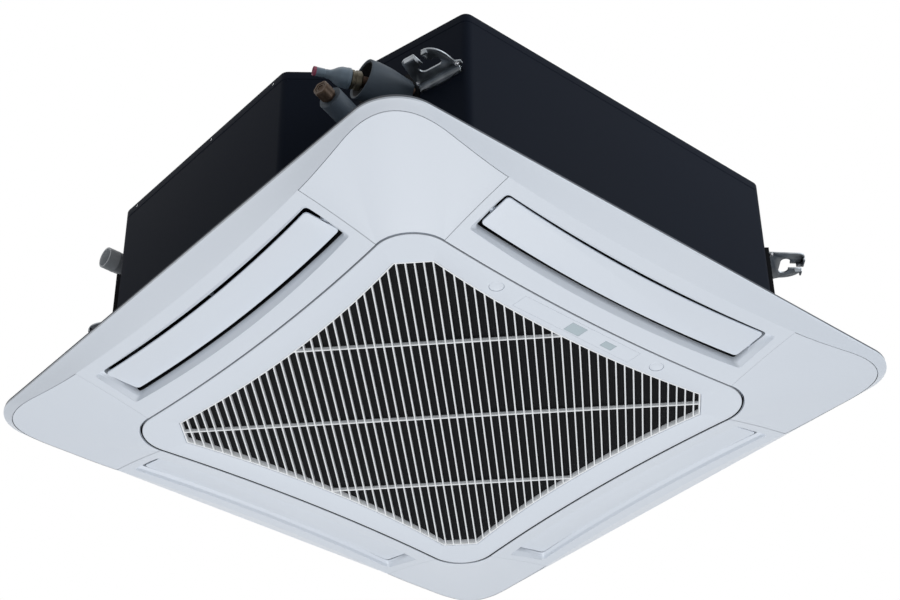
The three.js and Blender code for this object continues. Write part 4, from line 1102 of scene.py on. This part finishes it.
@dataclass
class Pipework:
    """Suction and liquid pipes with their sleeves, nuts and cap, and the drain stub."""

    start: tuple[float, float, float] = (-321.0, -331.0, 215.0)
    end: tuple[float, float, float] = (-447.0, -283.0, 215.5)
    sleeve_from: float = 2.0
    sleeve_to: float = 70.0
    mouth_normal: tuple[float, float, float] = (-0.965, 0.12, 0.1)
    mouth_rise: float = 5.0
    liquid_start: tuple[float, float, float] = (-335.2, -272.0, 158.0)
    liquid_end: tuple[float, float, float] = (-431.0, -298.0, 168.0)
    drain: tuple[float, float] = (281.0, 259.0)

    def on_line(self, distance: float) -> np.ndarray:
        """Returns a point on the suction pipe's axis."""
        a, b = np.array(self.start), np.array(self.end)
        return a + (b - a) / np.linalg.norm(b - a) * distance

    def turned_piece(self, name: str, profile: list, start: np.ndarray, end: np.ndarray,
                     segments: int = 64, lobes: int = 0, depth: float = 0.0,
                     angle: float = 35.0) -> bpy.types.Object:
        """Builds a piece from a profile of radius and distance turned about an axis."""
        form = Form().revolve(np.array(profile, float), start, end, segments, lobes, depth)
        return form.finished(name, angle)

    def sleeve(self) -> bpy.types.Object:
        """Builds the flared foam sleeve.

        Its outer radius swells from the root to the mouth; near the root it is puckered by a
        five-lobed wave that dies away along it. Its cross-section turns from square to the
        pipe at the root to the mouth's slant, and its centre line climbs a little. The
        mouth's rim is a rounded edge 3 mm thick.
        """
        s = np.linspace(0, 1, 40)
        outer = 14.5 + 14.5 * np.sin(s * math.pi / 2) ** 0.9
        lip = np.array([[29.0, 1.0], [28.6, 1.006], [27.6, 1.008], [26.6, 1.002], [26.0, 0.99]])
        back = s[::-1][1:28]
        inner = np.maximum(8.4, 26.0 - (1 - back) * 40.0)
        radius = np.concatenate([outer, lip[1:, 0], inner, [8.4]])
        share = np.concatenate([s, lip[1:, 1], back, [0.0]])
        piece = Form().grid(self.sleeve_surface(radius, share), close_rows=True,
                            close_columns=True).made("suction_sleeve_foam")
        smooth(piece, 50)
        return piece

    def sleeve_painted_shade(self) -> bpy.types.Object:
        """Builds a dark film inside the flared sleeve, half a millimetre thick: painted shade inside the sleeve's
        mouth.
        """
        s = np.linspace(0.985, 0.12, 28)
        near = np.maximum(9.2, 25.7 - (1 - s) * 40.0)
        points = self.sleeve_surface(np.concatenate([near, near[::-1] - 0.5]),
                                     np.concatenate([s, s[::-1]]))
        piece = Form().grid(points, close_rows=True, close_columns=True).made("suction_sleeve_painted_shade")
        smooth(piece, 50)
        return piece

    def sleeve_surface(self, radius: np.ndarray, share: np.ndarray) -> np.ndarray:
        """Lays rings of the given radii along the flared sleeve.

        Args:
            radius: of each ring, in millimetres.
            share: each ring's place along the sleeve, 0 at the root and 1 at the mouth.

        Returns:
            Points, rings by 72 by 3.
        """
        place = share * (self.sleeve_to - self.sleeve_from)
        w = self.on_line(1.0) - self.on_line(0.0)
        turn = smoothstep(share)[:, None]
        normal = w * (1 - turn) + np.array(self.mouth_normal) * turn
        normal /= np.linalg.norm(normal, axis=1, keepdims=True)
        u = np.cross([0.0, 0.0, 1.0], normal)
        u /= np.linalg.norm(u, axis=1, keepdims=True)
        v = np.cross(normal, u)
        angle = np.arange(72) * 2 * math.pi / 72
        fold = 0.14 * np.exp(-place / 14.0)[:, None] * (np.cos(5 * angle + 0.6) - 0.6)[None]
        fold += 0.012 * np.cos(2 * angle + place[:, None] / 30)
        r = radius[:, None] * np.where(radius[:, None] > 8.5, 1 + np.clip(fold, -0.2, 0.0), 1.0)
        centre = self.on_line(self.sleeve_from) + place[:, None] * w
        centre[:, 2] += self.mouth_rise * share ** 2
        return centre[:, None] + r[..., None] * (np.cos(angle)[None, :, None] * u[:, None]
                                                 + np.sin(angle)[None, :, None] * v[:, None])

    def suction(self) -> dict[str, bpy.types.Object]:
        """Builds the suction pipe's nut, cap and cap tip."""
        line = self.on_line
        nut = self.turned_piece("suction_nut_hex", [
            [8.4, 0], [11.5, 0], [13.6, 1.6], [13.6, 8.2], [12.2, 9.4], [12.2, 10.2], [13.2, 11.0],
            [13.2, 14.0], [12.0, 15.0], [8.4, 15.0]], line(70.9), line(120), 48, 6, 0.1, 25)
        cap = self.turned_piece("suction_cap_shell", [
            [0.01, 0.0], [13.6, 0.0], [14.6, 0.9], [14.6, 4.4], [14.2, 5.0], [13.9, 12.5], [12.0, 17.6],
            [9.0, 22.4], [7.2, 25.6], [6.3, 28.0], [6.0, 32.6], [5.7, 33.2], [5.7, 34.2], [6.1, 34.8],
            [6.1, 46.3], [0.01, 46.3]], line(86.2), line(150), 60, 6, 0.05, 32)
        tip = self.turned_piece("suction_cap_ring", [
            [0.01, 0.4], [2.4, 0.4], [2.5, 2.6], [3.0, 3.2], [3.6, 2.8], [3.9, 1.4], [4.3, 1.4], [4.7, 3.4],
            [5.6, 4.0], [6.3, 3.4], [6.3, 0.0], [0.01, 0.0]], line(132.5), line(170), 48)
        return {"suction_nut": nut, "suction_cap": cap, "suction_cap_tip": tip}

    def liquid_parts(self) -> dict[str, bpy.types.Object]:
        """Builds the liquid pipe's foam sleeve and its flare nut."""
        a, b = np.array(self.liquid_start), np.array(self.liquid_end)
        length = float(np.linalg.norm(b - a))
        w = (b - a) / length
        sleeve = self.turned_piece("liquid_sleeve_foam", [
            [6.4, 0.0], [15.6, 0.0], [16.8, 1.2], [17.0, length * 0.4], [16.8, length * 0.7],
            [17.0, length - 8.2], [16.2, length - 7.0], [6.4, length - 7.0]], a + w * 7.0, b + w * 20)
        nut = self.turned_piece("liquid_nut_hex", [
            [0.01, 0.0], [8.6, 0.0], [9.6, 2.0], [11.8, 5.5], [11.8, 18.6], [10.6, 20.7], [8.0, 20.7],
            [7.2, 18.0], [7.2, 20.0], [4.8, 20.4], [4.2, 19.0], [0.01, 17.0]], b - w * 0.3, b + w * 50,
            48, 6, 0.11, 25)
        return {"liquid_sleeve": sleeve, "liquid_nut": nut}

    def drain_stub(self) -> bpy.types.Object:
        """Builds the drain stub: a tube with a rounded end and two raised beads."""
        y, z = self.drain
        profile = [[13.5, 1.5], [13.9, 0.2], [15.8, 0.0], [16.3, 0.6], [16.3, 16.0], [16.5, 16.6],
                   [16.5, 18.6], [16.1, 19.2], [16.1, 50.0], [16.5, 51.0], [16.5, 81.0], [13.5, 81.0], [13.5, 1.5]]
        return self.turned_piece("drain_tube", profile, np.array([-417.0, y, z]),
                                 np.array([-300.0, y, z]))


# ------------------------------------------------------------------ studio

@dataclass
class Studio:
    """Camera, floor, world and lamps."""

    camera_at: tuple[float, float, float] = (-1.5247, -1.8098, -1.5171)
    lens: float = 77.65
    floor: float = -6.0
    floor_half: float = 60000.0
    soft_light: float = 0.3
    side_power: float = 62.0
    below_power: float = 52.0

    def camera(self) -> None:
        """Places the camera where the photograph was taken from."""
        right = np.array([0.76499414, -0.64395174, -0.01049437])
        down = np.array([0.37362342, 0.45700729, -0.80718639])
        ahead = np.array([0.52458508, 0.61357192, 0.59020335])
        data = bpy.data.cameras.new("camera")
        data.lens, data.sensor_width = self.lens, 36.0
        data.clip_start, data.clip_end = 0.05, 60.0
        camera = bpy.data.objects.new("camera", data)
        turn = np.eye(4)
        turn[:3, 0], turn[:3, 1], turn[:3, 2], turn[:3, 3] = right, -down, -ahead, self.camera_at
        camera.matrix_world = Matrix(turn.tolist())
        bpy.context.scene.collection.objects.link(camera)
        bpy.context.scene.camera = camera

    def lamp(self, name: str, at: tuple[float, float, float], size: float, power: float,
             colour: tuple[float, float, float]) -> None:
        """Adds a square area lamp that faces the middle of the object."""
        data = bpy.data.lights.new(name, "AREA")
        data.energy, data.size, data.color = power, size, colour
        lamp = bpy.data.objects.new(name, data)
        u, v, w = frame_axes(np.array(at) - [0.0, 0.0, 0.1])
        turn = np.eye(4)
        turn[:3, 0], turn[:3, 1], turn[:3, 2], turn[:3, 3] = u, v, w, at
        lamp.matrix_world = Matrix(turn.tolist())
        bpy.context.scene.collection.objects.link(lamp)

    def world(self, light: float) -> None:
        """Makes the world: soft even light, and white to the camera and in reflections."""
        world = bpy.data.worlds.new("world")
        bpy.context.scene.world = world
        world.use_nodes = True
        nodes, links = world.node_tree.nodes, world.node_tree.links
        background = nodes["Background"]
        background.inputs["Color"].default_value = (1.0, 1.0, 1.0, 1.0)
        path = nodes.new("ShaderNodeLightPath")
        seen = nodes.new("ShaderNodeMath")
        seen.operation = "MAXIMUM"
        through = nodes.new("ShaderNodeMath")
        through.operation = "MAXIMUM"
        strength = nodes.new("ShaderNodeMapRange")
        strength.inputs["To Min"].default_value, strength.inputs["To Max"].default_value = light, 1.0
        links.new(path.outputs["Is Camera Ray"], seen.inputs[0])
        links.new(path.outputs["Is Transmission Ray"], seen.inputs[1])
        links.new(seen.outputs["Value"], through.inputs[0])
        links.new(path.outputs["Is Glossy Ray"], through.inputs[1])
        links.new(through.outputs["Value"], strength.inputs["Value"])
        links.new(strength.outputs["Result"], background.inputs["Strength"])

    def ground(self) -> None:
        """Lays the plain pale floor, well below the ceiling that the unit hangs in."""
        loop = self.floor_half * np.array([[-1.0, -1.0], [1.0, -1.0], [1.0, 1.0], [-1.0, 1.0]])
        floor = Form().cap(at_height(loop, self.floor / MM)).made("floor")
        material = bpy.data.materials.new("floor")
        material.use_nodes = True
        shader = material.node_tree.nodes["Principled BSDF"]
        noise = material.node_tree.nodes.new("ShaderNodeTexNoise")
        place = material.node_tree.nodes.new("ShaderNodeTexCoord")
        mix = material.node_tree.nodes.new("ShaderNodeMix")
        mix.data_type = "RGBA"
        noise.inputs["Scale"].default_value = 0.8
        mix.inputs["A"].default_value = (0.86, 0.87, 0.88, 1.0)
        mix.inputs["B"].default_value = (0.88, 0.89, 0.90, 1.0)
        link = material.node_tree.links.new
        link(place.outputs["Object"], noise.inputs["Vector"])
        link(noise.outputs["Fac"], mix.inputs["Factor"])
        link(mix.outputs["Result"], shader.inputs["Base Color"])
        shader.inputs["Roughness"].default_value = 0.75
        floor.data.materials.append(material)

    def build(self) -> None:
        """Builds the whole studio."""
        self.camera()
        self.world(self.soft_light)
        self.ground()
        self.lamp("lamp_side", (1.4, -3.2, 1.3), 2.4, self.side_power, (0.9, 0.95, 1.0))
        self.lamp("lamp_below", (0.0, 0.0, -2.5), 2.6, self.below_power, (1.0, 1.0, 1.0))
        settings = bpy.context.scene.view_settings
        settings.view_transform = "Standard"


# ------------------------------------------------------------------ assembly

class Finishes:
    """Every finish on the unit, made once."""

    def __init__(self) -> None:
        """Makes the texture groups and the materials."""
        textures = Textures()
        P = Pattern
        kinds = [
            Finish("white_plastic", "white_plastic", (0.74, 0.79, 0.86), (0.71, 0.765, 0.845), (0.34, 0.42),
                   P.MOULDED, 900.0, 4.0, 0.05, 0.00015),
            # Painted light: the grille's own white plastic, made lighter for its slats, border and ribs.
            Finish("painted_light_white", "white_plastic", (0.93, 0.95, 0.97), (0.9, 0.925, 0.955), (0.34, 0.42),
                   P.MOULDED, 900.0, 4.0, 0.05, 0.00015),
            Finish("body_paint", "body_paint", (0.0105, 0.0145, 0.025), (0.006, 0.0085, 0.015), (0.5, 0.6),
                   P.PAINTED, 260.0, 3.0, 0.12, 0.0003, specular=0.03),
            Finish("body_black", "body_black", (0.012, 0.0125, 0.014), (0.008, 0.0085, 0.01), (0.38, 0.5),
                   P.PAINTED, 260.0, 5.0, 0.12, 0.0003, specular=0.03),
            Finish("foam", "foam", (0.052, 0.056, 0.062), (0.03, 0.032, 0.036), (0.85, 0.95), P.FOAM, 300.0,
                   9.0, 0.4, 0.0006),
            Finish("sleeve_foam", "sleeve_foam", (0.075, 0.1, 0.128), (0.046, 0.062, 0.082), (0.55, 0.7),
                   P.MOULDED, 300.0, 24.0, 0.15, 0.0004),
            Finish("fins", "fins", (0.58, 0.6, 0.61), (0.4, 0.42, 0.43), (0.35, 0.5), P.FINS, 100.0,
                   8.0, 0.8, 0.001, metallic=1.0),
            Finish("black_plastic", "black_plastic", (0.022, 0.022, 0.024), (0.014, 0.014, 0.016),
                   (0.45, 0.6), P.MOULDED, 500.0, 8.0, 0.1, 0.0002),
            # Painted shade: the black plastic made darker still, for the duct linings, the seam strip and the
            # inside of the suction sleeve.
            Finish("painted_shade_black", "black_plastic", (0.008, 0.0085, 0.01), (0.005, 0.0055, 0.007), (0.5, 0.6),
                   P.MOULDED, 500.0, 8.0, 0.1, 0.0002, specular=0.1),
            Finish("seal_foam", "foam", (0.2, 0.21, 0.23), (0.16, 0.17, 0.19), (0.8, 0.9), P.FOAM, 300.0,
                   9.0, 0.3, 0.0004, specular=0.1),
            Finish("filter_mesh", "filter_mesh", (0.016, 0.0165, 0.018), (0.003, 0.003, 0.004), (0.5, 0.8),
                   P.MESH, 110.0, 8.0, 0.8, 0.001, specular=0.05),
            Finish("zinc", "zinc", (0.46, 0.49, 0.52), (0.2, 0.22, 0.24), (0.3, 0.5), P.SPANGLE, 90.0, 8.0,
                   0.1, 0.0002, metallic=0.9),
            Finish("steel", "zinc", (0.75, 0.76, 0.78), (0.6, 0.61, 0.63), (0.18, 0.3), P.BRUSHED, 800.0,
                   9.0, 0.1, 0.0002, metallic=1.0),
            Finish("aged_copper", "copper", (0.09, 0.05, 0.032), (0.045, 0.026, 0.018), (0.4, 0.6),
                   P.BRUSHED, 500.0, 20.0, 0.1, 0.0002, metallic=0.6),
            Finish("dull_brass", "brass", (0.17, 0.15, 0.105), (0.08, 0.07, 0.05), (0.4, 0.55),
                   P.BRUSHED, 500.0, 40.0, 0.15, 0.0003, metallic=0.5),
            Finish("brass", "brass", (0.11, 0.066, 0.04), (0.045, 0.03, 0.02), (0.4, 0.55), P.BRUSHED,
                   500.0, 40.0, 0.15, 0.0003, metallic=0.5),
            Finish("cap_plastic", "cap_plastic", (0.2, 0.265, 0.33), (0.13, 0.175, 0.22), (0.35, 0.5),
                   P.MOULDED, 600.0, 50.0, 0.1, 0.0003),
            Finish("red_plastic", "red_plastic", (0.34, 0.06, 0.12), (0.22, 0.035, 0.075), (0.4, 0.5),
                   P.MOULDED, 600.0, 40.0, 0.1, 0.0002),
            Finish("grey_plastic", "grey_plastic", (0.6, 0.63, 0.66), (0.5, 0.53, 0.56), (0.4, 0.55),
                   P.MOULDED, 500.0, 20.0, 0.08, 0.0002),
            Finish("window", "window", (0.5, 0.59, 0.64), (0.45, 0.54, 0.59), (0.12, 0.2), P.MOULDED, 700.0,
                   20.0, 0.02, 0.0001, coat=0.4),
        ]
        self.slots = {kind.name: kind.slot for kind in kinds}
        self.materials = {kind.name: kind.made(textures) for kind in kinds}

    def dress(self, piece: bpy.types.Object, finish: str, body: str, *replaced: str) -> bpy.types.Object:
        """Gives a new piece its material and body, and hides the nodes it stands for.

        Args:
            piece: the new object.
            finish: name of the finish.
            body: the body that it rides on.
            replaced: CAD nodes that it stands for.

        Returns:
            The piece.
        """
        piece.data.materials.clear()
        piece.data.materials.append(self.materials[finish])
        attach(piece, body)
        if replaced:
            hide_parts(*replaced)
        log.info("%s: %d faces on %s", piece.name, len(piece.data.polygons), body)
        return piece

    def dress_nodes(self, finish: str, *names: str) -> None:
        """Gives CAD nodes that stay a material of their own."""
        for name in names:
            NODES[name].data.materials.clear()
            NODES[name].data.materials.append(self.materials[finish])
            log.info("%s: kept, in %s", name, finish)


class Cassette:
    """The whole unit, put together from its sub-assemblies."""

    def __init__(self) -> None:
        """Makes the finishes."""
        self.finishes = Finishes()

    def panel(self) -> None:
        """Builds the outlet panel, its covers and its four louvres."""
        dress, panel = self.finishes.dress, OutletPanel()
        dress(panel.build(), "white_plastic", "unit", "panel_frame")
        dress(panel.seal(), "seal_foam", "unit")
        # The duct linings are black, made darker still as painted shade inside the ducts.
        dress(panel.linings(), "painted_shade_black", "unit")
        # Painted shade: a dark strip in the gap between the panel and the grille.
        dress(panel.seam_shade_strip(), "painted_shade_black", "unit")
        for number, cover in enumerate(panel.covers(), 1):
            dress(cover, "white_plastic", "unit", f"corner_cover_{number}")
        for side, opening in enumerate((0.0, 7.5, 0.0, 0.0)):
            blade = Louvre(side, opening).build()
            dress(blade, "white_plastic", f"louvre_{side + 1}", f"louvre_{side + 1}")

    def grille(self) -> None:
        """Builds the intake grille and its latch buttons."""
        dress, grille = self.finishes.dress, IntakeGrille()
        dress(grille.frame(), "white_plastic", "grille", "grille")
        # The border, slats and ribs take the lighter copy of the white plastic: painted light.
        dress(grille.border(), "painted_light_white", "grille")
        dress(grille.slats(), "painted_light_white", "grille")
        dress(grille.ribs(), "painted_light_white", "grille")
        for name, end in (("left", -1), ("right", 1)):
            dress(grille.button(f"button_{name}", end), "white_plastic", f"latch_{name}", f"latch_{name}")
        self.finishes.dress_nodes("filter_mesh", "filter")
        self.finishes.dress_nodes("white_plastic", "display_strip")
        self.finishes.dress_nodes("window", "receiver_window", "lamp_window")
        self.finishes.dress_nodes("steel", "hinge_pin_left", "hinge_pin_right")

    def body(self) -> None:
        """Builds the body, its brackets and what shows inside it."""
        dress, body, hangers = self.finishes.dress, Body(), Hangers()
        dress(body.shell(), "body_paint", "unit", "casing")
        dress(body.ribs(), "body_paint", "unit")
        dress(body.screws(), "steel", "unit")
        for index in range(4):
            dress(hangers.build(index), "zinc", "unit", f"hanger_{index + 1}")
            dress(hangers.flange(index), "zinc", "unit")
        dress(hangers.screws(), "steel", "unit")
        nodes = self.finishes.dress_nodes
        nodes("body_black", "corner_plate_2", "corner_plate_3", "corner_plate_4", "pipe_plate")
        nodes("foam", "insulation_liner", "drain_pan")
        nodes("fins", "coil")
        nodes("black_plastic", "bell_mouth", "fan", *(f"louvre_motor_{k}" for k in range(1, 5)))
        nodes("zinc", "fan_motor", "electrical_box", "electrical_lid")

    def pipes(self) -> None:
        """Builds the pipework at the corner and the drain stub."""
        dress, work = self.finishes.dress, Pipework()
        dress(work.sleeve(), "sleeve_foam", "unit", "suction_sleeve")
        # Painted shade: a dark film inside the flared sleeve.
        dress(work.sleeve_painted_shade(), "painted_shade_black", "unit")
        looks = {"suction_nut": "dull_brass", "suction_cap": "cap_plastic",
                 "suction_cap_tip": "red_plastic", "liquid_sleeve": "sleeve_foam", "liquid_nut": "brass"}
        for node, piece in {**work.suction(), **work.liquid_parts()}.items():
            dress(piece, looks[node], "unit", node)
        dress(work.drain_stub(), "grey_plastic", "unit", "drain_stub")
        self.finishes.dress_nodes("aged_copper", "suction_pipe", "liquid_pipe")


def main() -> None:
    """Builds the studio and the unit."""
    logging.basicConfig(level=logging.INFO, format="%(name)s: %(message)s")
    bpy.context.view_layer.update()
    Studio().build()
    unit = Cassette()
    unit.panel()
    unit.grille()
    unit.body()
    unit.pipes()


if __name__ == "__main__":
    main()
